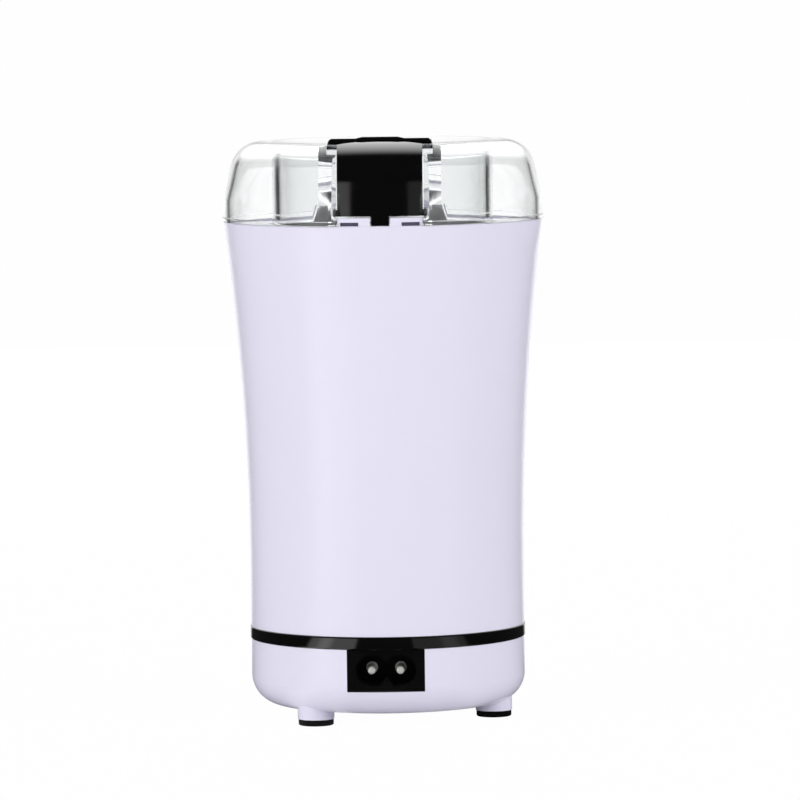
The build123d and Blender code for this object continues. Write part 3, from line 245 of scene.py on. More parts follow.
class Sketch(Wiring):
    """One material in the making: a Principled shader and the textures that feed it."""

    def __init__(self, name: str) -> None:
        """Starts a material with its shader, output and Object coordinates.

        Args:
            name: the material's name.
        """
        self.material = bpy.data.materials.new(name)
        self.material.use_nodes = True
        super().__init__(self.material.node_tree)
        self.shader = self.node("ShaderNodeBsdfPrincipled")
        output = self.node("ShaderNodeOutputMaterial")
        self.link(self.shader.outputs["BSDF"], output.inputs["Surface"])
        self.place = self.node("ShaderNodeTexCoord").outputs["Object"]

    def set(self, **values: object) -> None:
        """Sets the shader's own sockets, given with _ for the spaces in their names."""
        for name, value in values.items():
            self.shader.inputs[name.replace("_", " ")].default_value = value

    def noise(self, size: float, detail: float = 2.0, place: Socket | None = None) -> Socket:
        """Soft random field with features of about this size.

        Args:
            size: feature size in metres.
            detail: how many finer octaves it holds.
            place: coordinates, Object ones if left out.

        Returns:
            The field's value socket.
        """
        made = self.node("ShaderNodeTexNoise")
        made.inputs["Scale"].default_value = 1 / size
        made.inputs["Detail"].default_value = detail
        self.link(place or self.place, made.inputs["Vector"])
        return made.outputs["Fac"]

    def tint(self, value: Socket, first: Colour, second: Colour) -> None:
        """Colours the shader between two screen colours.

        Args:
            value: a field from 0 to 1.
            first: the colour at 0.
            second: the colour at 1.
        """
        made = self.node("ShaderNodeMix", data_type="RGBA")
        sockets = {socket.name: socket for socket in made.inputs if socket.type == "RGBA"}
        sockets["A"].default_value = linear(first)
        sockets["B"].default_value = linear(second)
        self.link(value, made.inputs["Factor"])
        mixed = next(socket for socket in made.outputs if socket.type == "RGBA")
        self.link(mixed, self.shader.inputs["Base Color"])

    def mottle(self, field: Socket, first: Colour, second: Colour) -> None:
        """Colours the shader between two screen colours by a noise."""
        self.tint(self.mapped(field, NOISE_SPAN, (0.0, 1.0)), first, second)

    def roughen(self, field: Socket, limits: Range) -> None:
        """Lets the roughness follow a noise between two limits."""
        self.link(self.mapped(field, NOISE_SPAN, limits), self.shader.inputs["Roughness"])

    def emboss(self, height: Socket, depth: float) -> None:
        """Bumps the surface by a field.

        Args:
            height: the field.
            depth: how deep a step of 1 is, in metres.
        """
        made = self.node("ShaderNodeBump")
        made.inputs["Strength"].default_value = 1.0
        made.inputs["Distance"].default_value = depth
        self.link(height, made.inputs["Height"])
        self.link(made.outputs["Normal"], self.shader.inputs["Normal"])

    def stretched(self, shares: Shares) -> Socket:
        """Object coordinates, each axis multiplied by its share.

        Args:
            shares: one number for each axis.

        Returns:
            The coordinates' socket.
        """
        made = self.node("ShaderNodeMapping")
        made.inputs["Scale"].default_value = shares
        self.link(self.place, made.inputs["Vector"])
        return made.outputs["Vector"]

    def around_axis(self) -> Socket:
        """Coordinates (radius, height, 0) about the grinder's axis, so a pattern runs in rings.

        Returns:
            The coordinates' socket.
        """
        place = self.apart(self.place)
        reach = self.vector("LENGTH", self.together(place["X"], place["Y"]))
        return self.together(reach.outputs["Value"], place["Z"])


class Grain(Enum):
    """Mould finish of a plastic: feature size and depth in metres."""

    POLISHED = (0.006, 0.000003)
    GLOSS = (0.004, 0.0000015)
    SATIN = (0.0005, 0.000012)
    SPARKED = (0.00025, 0.00002)


class Lay(Enum):
    """Direction of the fine lines on a metal."""

    TURNED = "rings about the axis"
    ALONG = "lines along X"
    PLATED = "no lines"
    CAST = "coarse grain"


@dataclass(frozen=True)
class Plastic:
    """Moulded opaque plastic: a slightly mottled colour, a mould grain and an even gloss."""

    name: str
    colour: Colour
    roughness: Range
    grain: Grain
    mottle: float = 0.012
    specular: float = 0.5
    mottle_size: float = 0.02
    gloss_size: float = 0.004

    def material(self) -> bpy.types.Material:
        """Makes the material.

        Returns:
            A Principled material with mottled colour, uneven gloss and grain.
        """
        sketch = Sketch(self.name)
        sketch.set(Specular_IOR_Level=self.specular)
        darker = tuple(c * (1 - self.mottle) for c in self.colour)
        sketch.mottle(sketch.noise(self.mottle_size, detail=3.0), darker, self.colour)
        sketch.roughen(sketch.noise(self.gloss_size, detail=4.0), self.roughness)
        size, depth = self.grain.value
        sketch.emboss(sketch.noise(size), depth)
        return sketch.material


@dataclass(frozen=True)
class ClearPlastic:
    """Clear moulded plastic with the faint ripple that flow leaves in a wall."""

    name: str
    colour: Colour
    index: float = 1.49
    roughness: float = 0.015
    ripple: float = 0.012
    depth: float = 0.00002

    def material(self) -> bpy.types.Material:
        """Makes the material.

        Returns:
            A Principled material that lets light through.
        """
        sketch = Sketch(self.name)
        sketch.set(Base_Color=linear(self.colour), Roughness=self.roughness)
        sketch.set(IOR=self.index, Transmission_Weight=1.0)
        sketch.emboss(sketch.noise(self.ripple, detail=1.0), self.depth)
        return sketch.material


@dataclass(frozen=True)
class Metal:
    """Bare or plated metal with the lines its making leaves."""

    name: str
    colour: Colour
    roughness: Range
    lay: Lay
    line: float = 0.0002
    depth: float = 0.000004
    metallic: float = 1.0
    line_shade: float = 0.92
    line_stretch: Shares = (0.02, 1.0, 1.0)

    def material(self) -> bpy.types.Material:
        """Makes the material.

        Returns:
            A metallic Principled material with lines along its lay.
        """
        sketch = Sketch(self.name)
        sketch.set(Metallic=self.metallic)
        places = {
            Lay.TURNED: sketch.around_axis,
            Lay.ALONG: lambda: sketch.stretched(self.line_stretch),
            Lay.PLATED: lambda: sketch.place,
            Lay.CAST: lambda: sketch.place,
        }
        lines = sketch.noise(self.line, detail=3.0, place=places[self.lay]())
        sketch.mottle(lines, tuple(c * self.line_shade for c in self.colour), self.colour)
        sketch.roughen(lines, self.roughness)
        sketch.emboss(lines, self.depth)
        return sketch.material


@dataclass(frozen=True)
class Rubber:
    """Soft moulded rubber: dark, dull and finely grained."""

    name: str
    colour: Colour
    roughness: Range = (0.6, 0.8)
    specular: float = 0.35
    grain: float = 0.0004
    depth: float = 0.00003
    bloom: Range = (1.12, 2.0)  # lighter grains: times the first, plus the second

    def material(self) -> bpy.types.Material:
        """Makes the material.

        Returns:
            A dull Principled material with a fine grain.
        """
        sketch = Sketch(self.name)
        sketch.set(Specular_IOR_Level=self.specular)
        times, plus = self.bloom
        lighter = tuple(min(255, c * times + plus) for c in self.colour)
        grain = sketch.noise(self.grain, detail=3.0)
        sketch.mottle(grain, self.colour, lighter)
        sketch.roughen(grain, self.roughness)
        sketch.emboss(grain, self.depth)
        return sketch.material


@dataclass(frozen=True)
class Layered:
    """Stacked sheet or wound wire: fine bands across Z in two colours."""

    name: str
    light: Colour
    dark: Colour
    pitch: float
    metallic: float = 1.0
    roughness: float = 0.38
    waver: float = 0.4
    groove: float = 1 / 6  # depth of a groove, as a share of the pitch

    def material(self) -> bpy.types.Material:
        """Makes the material; a wave texture of scale s repeats every pi / (10 s).

        Returns:
            A banded Principled material.
        """
        sketch = Sketch(self.name)
        sketch.set(Metallic=self.metallic, Roughness=self.roughness)
        wave = sketch.node("ShaderNodeTexWave", wave_type="BANDS", bands_direction="Z")
        wave.inputs["Scale"].default_value = pi / (10 * self.pitch)
        wave.inputs["Distortion"].default_value = self.waver
        sketch.link(sketch.place, wave.inputs["Vector"])
        sketch.tint(wave.outputs["Fac"], self.dark, self.light)
        sketch.emboss(wave.outputs["Fac"], self.pitch * self.groove)
        return sketch.material


class Finish(Enum):
    """Every finish on the grinder."""

    SHELL = Plastic("shell_lavender_white", (230, 227, 244), (0.2, 0.24), Grain.GLOSS, mottle=0.004)
    DECK = Plastic("deck_white", (236, 235, 240), (0.3, 0.42), Grain.SATIN, mottle=0.006)
    CLEAR = ClearPlastic("lid_clear", (254, 255, 255))
    BAND = Plastic("band_black", (3, 3, 4), (0.06, 0.1), Grain.POLISHED, mottle=0.1, specular=0.9)
    BUTTON = Plastic(
        "button_black", (3, 3, 4), (0.08, 0.13), Grain.POLISHED, mottle=0.1, specular=0.9
    )
    INLET = Plastic("inlet_black", (7, 7, 8), (0.26, 0.38), Grain.SPARKED, mottle=0.1, specular=0.4)
    PADS = Rubber("foot_rubber", (9, 9, 10), specular=0.2)
    # painted shade: the dark colour of the strips in the catches' slots
    SLOT_SHADE = Rubber("slot_painted_shade", (84, 81, 98), specular=0.2)
    SEAL = Rubber("seal_rubber", (66, 66, 68))
    PINS = Metal("nickel_pins", (246, 245, 240), (0.24, 0.36), Lay.PLATED, metallic=0.45)
    BOWL = Metal("bowl_steel", (206, 206, 208), (0.26, 0.4), Lay.TURNED, line=0.00018, metallic=0.8)
    BLADE = Metal("blade_steel", (204, 205, 208), (0.14, 0.28), Lay.ALONG, line=0.00015)
    SCREWS = Metal("zinc_screws", (188, 188, 190), (0.2, 0.35), Lay.PLATED)
    SPRINGS = Metal("spring_steel", (176, 177, 180), (0.18, 0.3), Lay.PLATED)
    BRACKET = Metal(
        "cast_brackets", (172, 172, 174), (0.4, 0.6), Lay.CAST, line=0.0012, depth=0.00002
    )
    BRONZE = Metal("bronze_bearings", (176, 138, 84), (0.35, 0.5), Lay.TURNED)
    COPPER = Metal("commutator_copper", (198, 116, 74), (0.2, 0.35), Lay.TURNED)
    BRASS = Metal("stamped_brass", (202, 166, 92), (0.22, 0.36), Lay.PLATED)
    STACK = Layered("steel_sheets", (128, 128, 132), (52, 52, 56), pitch=0.0005)
    WINDING = Layered(
        "enamelled_wire", (186, 96, 48), (92, 40, 18), pitch=0.0006, metallic=0.8, roughness=0.3
    )
    CARBON = Plastic("pressed_carbon", (40, 40, 42), (0.55, 0.7), Grain.SPARKED, mottle=0.1)
    PLATE = Plastic("plate_grey", (96, 96, 99), (0.45, 0.6), Grain.SATIN, mottle=0.03)
    FAN = Plastic("fan_black", (28, 28, 30), (0.4, 0.55), Grain.SATIN, mottle=0.05)
    SWITCH = Plastic("switch_black", (30, 30, 32), (0.4, 0.5), Grain.SATIN, mottle=0.05)
    PLUNGER = Plastic("plunger_white", (226, 226, 229), (0.35, 0.5), Grain.SATIN)
    BROWN = Rubber("brown_insulation", (96, 54, 32), (0.35, 0.5))
    BLUE = Rubber("blue_insulation", (38, 70, 150), (0.35, 0.5))


class Wardrobe:
    """Makes each finish once and puts it on nodes and pieces."""

    def __init__(self) -> None:
        """Starts with no material, and with the smoothing group."""
        self.made: dict[Finish, bpy.types.Material] = {}
        self.smoothing = self.make_smoothing()

    def material(self, finish: Finish) -> bpy.types.Material:
        """The material of a finish.

        Args:
            finish: which one.

        Returns:
            The one material of that finish.
        """
        if finish not in self.made:
            self.made[finish] = finish.value.material()
        return self.made[finish]

    @staticmethod
    def make_smoothing() -> bpy.types.NodeTree:
        """Node group that joins a node's loose triangles and shades all but its sharp edges smooth.

        Returns:
            The geometry node group.
        """
        group = bpy.data.node_groups.new("join_and_smooth", "GeometryNodeTree")
        for way in ("INPUT", "OUTPUT"):
            group.interface.new_socket("Geometry", in_out=way, socket_type="NodeSocketGeometry")
        wires = Wiring(group)
        start = wires.node("NodeGroupInput")
        merge = wires.node("GeometryNodeMergeByDistance")
        merge.inputs["Distance"].default_value = WELD
        faces = wires.node("GeometryNodeSetShadeSmooth", domain="FACE")
        edges = wires.node("GeometryNodeSetShadeSmooth", domain="EDGE")
        edges.inputs["Shade Smooth"].default_value = False
        angle = wires.node("GeometryNodeInputMeshEdgeAngle")
        sharp = wires.node("FunctionNodeCompare", data_type="FLOAT", operation="GREATER_THAN")
        sharp.inputs["B"].default_value = SMOOTH_ANGLE
        end = wires.node("NodeGroupOutput")
        wires.link(angle.outputs["Unsigned Angle"], sharp.inputs["A"])
        wires.link(sharp.outputs["Result"], edges.inputs["Selection"])
        chain = (start, merge, faces, edges, end)
        for before, after in zip(chain, chain[1:]):
            wires.link(before.outputs["Geometry"], after.inputs["Geometry"])
        return group

    def dress(self, finish: Finish, *nodes: str) -> None:
        """Gives CAD nodes a finish and smooth shading.

        Args:
            finish: the finish they get.
            nodes: names of CAD nodes.
        """
        for name in nodes:
            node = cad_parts[name]
            node.data.materials.clear()
            node.data.materials.append(self.material(finish))
            modifier = node.modifiers.new("join_and_smooth", "NODES")
            modifier.node_group = self.smoothing
            log.info("node %s: %s", name, finish.name.lower())

    def piece(
        self, name: str, surface: Surface, finish: Finish, body: str
    ) -> bpy.types.Object:
        """Makes a new piece from a surface and lets it ride on a body.

        Args:
            name: the piece's name.
            surface: its points and faces.
            finish: its finish.
            body: the CAD body it moves with.

        Returns:
            The new object.
        """
        points, faces = surface
        mesh = bpy.data.meshes.new(name)
        mesh.from_pydata(points.tolist(), [], faces)
        mesh.shade_smooth()
        mesh.materials.append(self.material(finish))
        made = bpy.data.objects.new(name, mesh)
        bpy.context.scene.collection.objects.link(made)
        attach(made, body)
        log.info("piece %s: %d faces, %s", name, len(faces), finish.name.lower())
        return made


def strip_faces(rows: int, columns: int) -> np.ndarray:
    """Quads of a grid of points that closes on itself across its columns.

    Args:
        rows: number of rings.
        columns: points on each ring.

    Returns:
        Index array of (rows - 1) * columns quads, ring by ring.
    """
    row, column = np.meshgrid(np.arange(rows - 1), np.arange(columns), indexing="ij")
    here = row * columns
    after = (column + 1) % columns
    corners = [here + column, here + after, here + columns + after, here + columns + column]
    return np.stack([corner.ravel() for corner in corners], axis=1)


def capped(rings: np.ndarray) -> Surface:
    """Closes a stack of rings with a pole in the middle of its first and last ring.

    Args:
        rings: array of (rows, columns, 3) points, each ring turning left about the way the rows go.

    Returns:
        Points and faces of the closed surface.
    """
    rows, columns, _ = rings.shape
    poles = np.stack([rings[0].mean(axis=0), rings[-1].mean(axis=0)])
    points = np.concatenate([rings.reshape(-1, 3), poles])
    column = np.arange(columns)
    after = (column + 1) % columns
    first = np.stack([np.full(columns, rows * columns), after, column], axis=1)
    start = (rows - 1) * columns
    last = np.stack([np.full(columns, rows * columns + 1), start + column, start + after], axis=1)
    faces = strip_faces(rows, columns).tolist() + first.tolist() + last.tolist()
    return points, faces


@dataclass(frozen=True)
class CoilSpring:
    """Round wire wound about Z, its end turns lying close."""

    radius: float
    wire: float
    length: float
    turns: int
    close_pitch: float = 2.2
    steps: int = 40
    sides: int = 12

    def surface(self) -> Surface:
        """The wire's skin: a circle carried along a helix, its pitch wider away from its ends.

        Returns:
            Points and faces, with the spring standing on its own origin.
        """
        turn = np.linspace(0, self.turns, self.turns * self.steps + 1)
        away = np.clip(np.minimum(turn, self.turns - turn), 0, 1)
        ease = away * away * (3 - 2 * away)
        rise = self.length - 2 * self.wire
        close = self.close_pitch * self.wire
        step = turn[1] - turn[0]
        open_share = (ease[1:] + ease[:-1]) / 2 * step
        open_pitch = (rise - close * self.turns) / open_share.sum()
        climb = np.cumsum(close * step + open_pitch * open_share)
        height = self.wire + np.concatenate([[0], climb])
        angle = 2 * pi * turn
        flat = np.zeros_like(angle)
        out = np.stack([np.cos(angle), np.sin(angle), flat], axis=1)
        spine = self.radius * out + np.stack([flat, flat, height], axis=1)
        along = np.gradient(spine, axis=0)
        along /= np.linalg.norm(along, axis=1, keepdims=True)
        side = np.cross(along, out)
        ring = np.linspace(0, 2 * pi, self.sides, endpoint=False)[None, :, None]
        circle = np.cos(ring) * out[:, None] + np.sin(ring) * side[:, None]
        return capped(spine[:, None] + self.wire * circle)


@dataclass(frozen=True)
class CrossScrew:
    """Pan head screw with a cross recess, its head upwards."""

    head_radius: float
    head_height: float
    shank_radius: float
    shank_length: float
    arm_width: float = 0.9 * MM
    arm_reach: float = 1.7 * MM
    recess: float = 0.9 * MM
    arm_slope: float = 0.12 * MM
    end_slope: float = 0.2 * MM
    crown_drop: float = 0.45
    edge_height: float = 0.25
    pole_share: float = 0.02
    point_from: float = 0.85
    point_radius: float = 0.3
    columns: int = 96
    rows: int = 26

    def surface(self) -> Surface:
        """A lathe form whose crown sinks where a cross lies: z = dome(r) - recess * cross(x, y).

        The dome falls with the fourth power of r, and the cross fades out over a short slope.

        Returns:
            Points and faces, with the seat of the head at height zero.
        """
        angle = np.linspace(0, 2 * pi, self.columns, endpoint=False)
        share = np.linspace(self.pole_share, 1, self.rows)
        dome = self.head_height * (1 - self.crown_drop * share**4)
        head = self.head_radius * np.concatenate([share, [1.0, 1.0]])
        shank = self.shank_radius * np.array([1.0, 1.0, self.point_radius])
        radius = np.concatenate([head, shank])[:, None]
        rim = [self.edge_height * self.head_height, 0.0]
        ends = [0.0, -self.point_from * self.shank_length, -self.shank_length]
        height = np.concatenate([dome, rim, ends])[:, None]
        x = radius * np.cos(angle)
        y = radius * np.sin(angle)
        near = np.minimum(np.abs(x), np.abs(y))
        far = np.maximum(np.abs(x), np.abs(y))
        across = np.clip((self.arm_width / 2 - near) / self.arm_slope, 0, 1)
        inside = across * np.clip((self.arm_reach - far) / self.end_slope, 0, 1)
        inside[self.rows:] = 0
        rings = np.stack([x, y, height - self.recess * inside], axis=2)
        return capped(rings[::-1])


@dataclass(frozen=True)
class SlotShadeStrip:
    """Thin curved dark strip on the back wall of a slot in one of the rim's catches: painted shade
    for the slot's recess.
    """

    radius: float
    middle: float
    width: float
    height: float
    thick: float = 0.25 * MM
    square: float = 0.35
    rows: int = 25
    sides: int = 32

    def surface(self) -> Surface:
        """A squared oval, as thick and high as the strip, carried along an arc about the axis.

        Returns:
            Points and faces, with the strip's middle at height zero.
        """
        ring = np.linspace(0, 2 * pi, self.sides, endpoint=False)
        across = np.sign(np.cos(ring)) * np.abs(np.cos(ring)) ** self.square
        up = np.sign(np.sin(ring)) * np.abs(np.sin(ring)) ** self.square
        reach = self.radius + self.thick * (1 + across) / 2
        half = self.width / 2
        x = np.linspace(self.middle + half, self.middle - half, self.rows)[:, None] + 0 * reach
        y = -np.sqrt(reach**2 - x**2)
        z = self.height / 2 * up + 0 * x
        return capped(np.stack([x, y, z], axis=2))


@dataclass
class Housing:
    """Body, band, base, feet and the screws that hold the base."""

    feet: int = 3
    catch_height: float = 2.4 * MM
    slot_radius: float = 46.71 * MM
    slot_middle: float = 9.1 * MM
    slot_width: float = 5.3 * MM
    slot_height: float = 1.1 * MM
    # height of each painted-shade strip, as a share of the slot's
    shade_strip_share: float = 0.95

    def dress(self, wardrobe: Wardrobe) -> None:
        """Puts the finishes on the outer shells and feet.

        Args:
            wardrobe: where the finishes come from.
        """
        wardrobe.dress(Finish.SHELL, "body_shell", "base_cup")
        wardrobe.dress(Finish.BAND, "trim_band")
        for number in range(1, self.feet + 1):
            wardrobe.dress(Finish.PADS, f"foot_pad_{number}")
            wardrobe.dress(Finish.SCREWS, f"base_screw_{number}")

    def build(self, wardrobe: Wardrobe) -> None:
        """Puts dark strips on the back of the catches' slots: painted shade for their recesses.

        Args:
            wardrobe: where the finishes come from.
        """
        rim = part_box("body_shell")[1].z - self.catch_height
        lift = np.array([0, 0, rim + self.slot_height / 2])
        tall = self.shade_strip_share * self.slot_height
        # a dark strip of painted shade at the back of each slot
        for side, place in ((-1, "left"), (1, "right")):
            strip = SlotShadeStrip(self.slot_radius, side * self.slot_middle, self.slot_width, tall)
            points, faces = strip.surface()
            name = f"slot_painted_shade_{place}"
            wardrobe.piece(name, (points + lift, faces), Finish.SLOT_SHADE, "housing")


@dataclass
class PowerInlet:
    """Black two-pin inlet in the base."""

    sides: tuple[str, str] = ("left", "right")

    def dress(self, wardrobe: Wardrobe) -> None:
        """Puts the finishes on the socket and its pins."""
        wardrobe.dress(Finish.INLET, "inlet_socket")
        wardrobe.dress(Finish.PINS, *(f"inlet_pin_{side}" for side in self.sides))


@dataclass
class Lid:
    """Clear lid with its press button and return spring."""

    spring_wire: float = 0.4 * MM
    spring_turns: int = 7
    travel: float = 2.5 * MM

    def dress(self, wardrobe: Wardrobe) -> None:
        """Puts the finishes on the lid and the button."""
        wardrobe.dress(Finish.CLEAR, "lid_shell")
        wardrobe.dress(Finish.BUTTON, "press_button")

    def build(self, wardrobe: Wardrobe) -> None:
        """Winds the return spring in the room of its CAD solid; it rides on the lid.

        Args:
            wardrobe: where the finishes come from.
        """
        low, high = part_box("button_spring")
        radius = (high.x - low.x) / 2 - self.spring_wire
        length = high.z - low.z
        points, faces = CoilSpring(radius, self.spring_wire, length, self.spring_turns).surface()
        seat = np.array([(low.x + high.x) / 2, (low.y + high.y) / 2, low.z])
        placed = (points + seat, faces)
        spring = wardrobe.piece("button_spring_wire", placed, Finish.SPRINGS, "lid")
        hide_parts("button_spring")
        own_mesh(spring)


@dataclass
class GrindingSet:
    """Deck, steel bowl, seal and blade."""

    screws: int = 3
    shank_radius: float = 1.45 * MM
    head_height: float = 1.4 * MM

    def dress(self, wardrobe: Wardrobe) -> None:
        """Puts the finishes on the bowl and what turns in it.

        Args:
            wardrobe: where the finishes come from.
        """
        wardrobe.dress(Finish.DECK, "top_deck")
        wardrobe.dress(Finish.SEAL, "bowl_gasket", "shaft_seal")
        wardrobe.dress(Finish.BOWL, "grinding_bowl", "blade_collar")
        wardrobe.dress(Finish.BLADE, "blade", "blade_nut")

    def build(self, wardrobe: Wardrobe) -> None:
        """Makes the bowl's screws with their cross recesses, in the place of the plain CAD ones.

        Args:
            wardrobe: where the finishes come from.
        """
        for number in range(1, self.screws + 1):
            low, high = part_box(f"bowl_screw_{number}")
            seat = np.array([(low.x + high.x) / 2, (low.y + high.y) / 2, high.z - self.head_height])
            radius, length = (high.x - low.x) / 2, seat[2] - low.z
            form = CrossScrew(radius, self.head_height, self.shank_radius, length)
            points, faces = form.surface()
            placed = (points + seat, faces)
            name = f"bowl_screw_{number}_cross"
            screw = wardrobe.piece(name, placed, Finish.SCREWS, "housing")
            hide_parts(f"bowl_screw_{number}")


@dataclass
class Motor:
    """Universal motor below the bowl."""

    spring_wire: float = 0.25 * MM
    spring_turns: int = 4
    bolts: int = 4
    plate_screws: int = 3
    ends: tuple[str, str] = ("front", "back")

    def dress(self, wardrobe: Wardrobe) -> None:
        """Puts the finishes on the motor's parts.

        Args:
            wardrobe: where the finishes come from.
        """
        wardrobe.dress(Finish.PLATE, "motor_plate")
        wardrobe.dress(Finish.BRACKET, "upper_bracket", "lower_bracket")
        wardrobe.dress(Finish.BRONZE, "upper_bearing", "lower_bearing")
        wardrobe.dress(Finish.STACK, "stator_stack", "armature_core")
        wardrobe.dress(Finish.WINDING, "field_coil_left", "field_coil_right", "armature_winding")
        wardrobe.dress(Finish.BLADE, "motor_shaft")
        wardrobe.dress(Finish.COPPER, "commutator")
        wardrobe.dress(Finish.FAN, "cooling_fan")
        screws = [f"motor_bolt_{number}" for number in range(1, self.bolts + 1)]
        screws += [f"plate_screw_{number}" for number in range(1, self.plate_screws + 1)]
        wardrobe.dress(Finish.SCREWS, *screws)
        for end in self.ends:
            wardrobe.dress(Finish.BRASS, f"brush_holder_{end}")
            wardrobe.dress(Finish.CARBON, f"carbon_brush_{end}")

    def build(self, wardrobe: Wardrobe) -> None:
        """Winds the brush springs in the room of their CAD solids, their axes along Y.

        Args:
            wardrobe: where the finishes come from.
        """
        for end in self.ends:
            low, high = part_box(f"brush_spring_{end}")
            radius = (high.x - low.x) / 2 - self.spring_wire
            coil = CoilSpring(radius, self.spring_wire, high.y - low.y, self.spring_turns)
            points, faces = coil.surface()
            seat = np.array([(low.x + high.x) / 2, low.y, (low.z + high.z) / 2])
            placed = (points[:, [1, 2, 0]] + seat, faces)
            name = f"brush_spring_{end}_wire"
            spring = wardrobe.piece(name, placed, Finish.SPRINGS, "housing")
            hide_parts(f"brush_spring_{end}")


@dataclass
class Switchgear:
    """Safety switch, its plunger and the wires."""

    sides: tuple[str, str] = ("left", "right")

    def dress(self, wardrobe: Wardrobe) -> None:
        """Puts the finishes on the switch, plunger and wires.

        Args:
            wardrobe: where the finishes come from.
        """
        wardrobe.dress(Finish.SWITCH, "switch_case")
        wardrobe.dress(Finish.PLUNGER, "switch_stem", "switch_plunger")
        wardrobe.dress(Finish.BRASS, *(f"switch_terminal_{side}" for side in self.sides))
        wardrobe.dress(Finish.BROWN, "wire_live", "wire_switched")
        wardrobe.dress(Finish.BLUE, "wire_neutral")


@dataclass(frozen=True)
class Softbox:
    """Oblong studio lamp aimed at the grinder, placed by its turn from the front, in degrees."""

    name: str
    turn: float
    height: float
    distance: float
    width: float
    tall: float
    watts: float

    def build(self, target: Vector) -> None:
        """Hangs the lamp, which doesn't show itself to the camera, in gloss or through the lid.

        Args:
            target: the point it is aimed at.
        """
        lamp = bpy.data.lights.new(self.name, "AREA")
        lamp.shape = "RECTANGLE"
        lamp.size = self.width
        lamp.size_y = self.tall
        lamp.energy = self.watts
        made = bpy.data.objects.new(self.name, lamp)
        turn = radians(self.turn)
        made.location = Vector((self.distance * sin(turn), -self.distance * cos(turn), self.height))
        made.rotation_euler = (target - made.location).to_track_quat("-Z", "Y").to_euler()
        made.visible_camera = False
        made.visible_glossy = False
        made.visible_transmission = False
        bpy.context.scene.collection.objects.link(made)


@dataclass(frozen=True)
class Panel:
    """Panel that gloss shows, in front, placed by the sine of its direction, minus to the left."""

    low: float
    high: float
    soft: float
    level: float

    def glow(self, wires: Wiring, aside: Socket) -> Socket:
        """Brightness of the panel, with soft ends.

        Args:
            wires: the node tree it goes into.
            aside: sine of the direction.

        Returns:
            The brightness socket.
        """
        begins = wires.ramp(aside, (self.low - self.soft, self.low + self.soft), (0.0, 1.0))
        ends = wires.ramp(aside, (self.high - self.soft, self.high + self.soft), (self.level, 0.0))
        return wires.joined(Sum.TIMES, begins, ends)


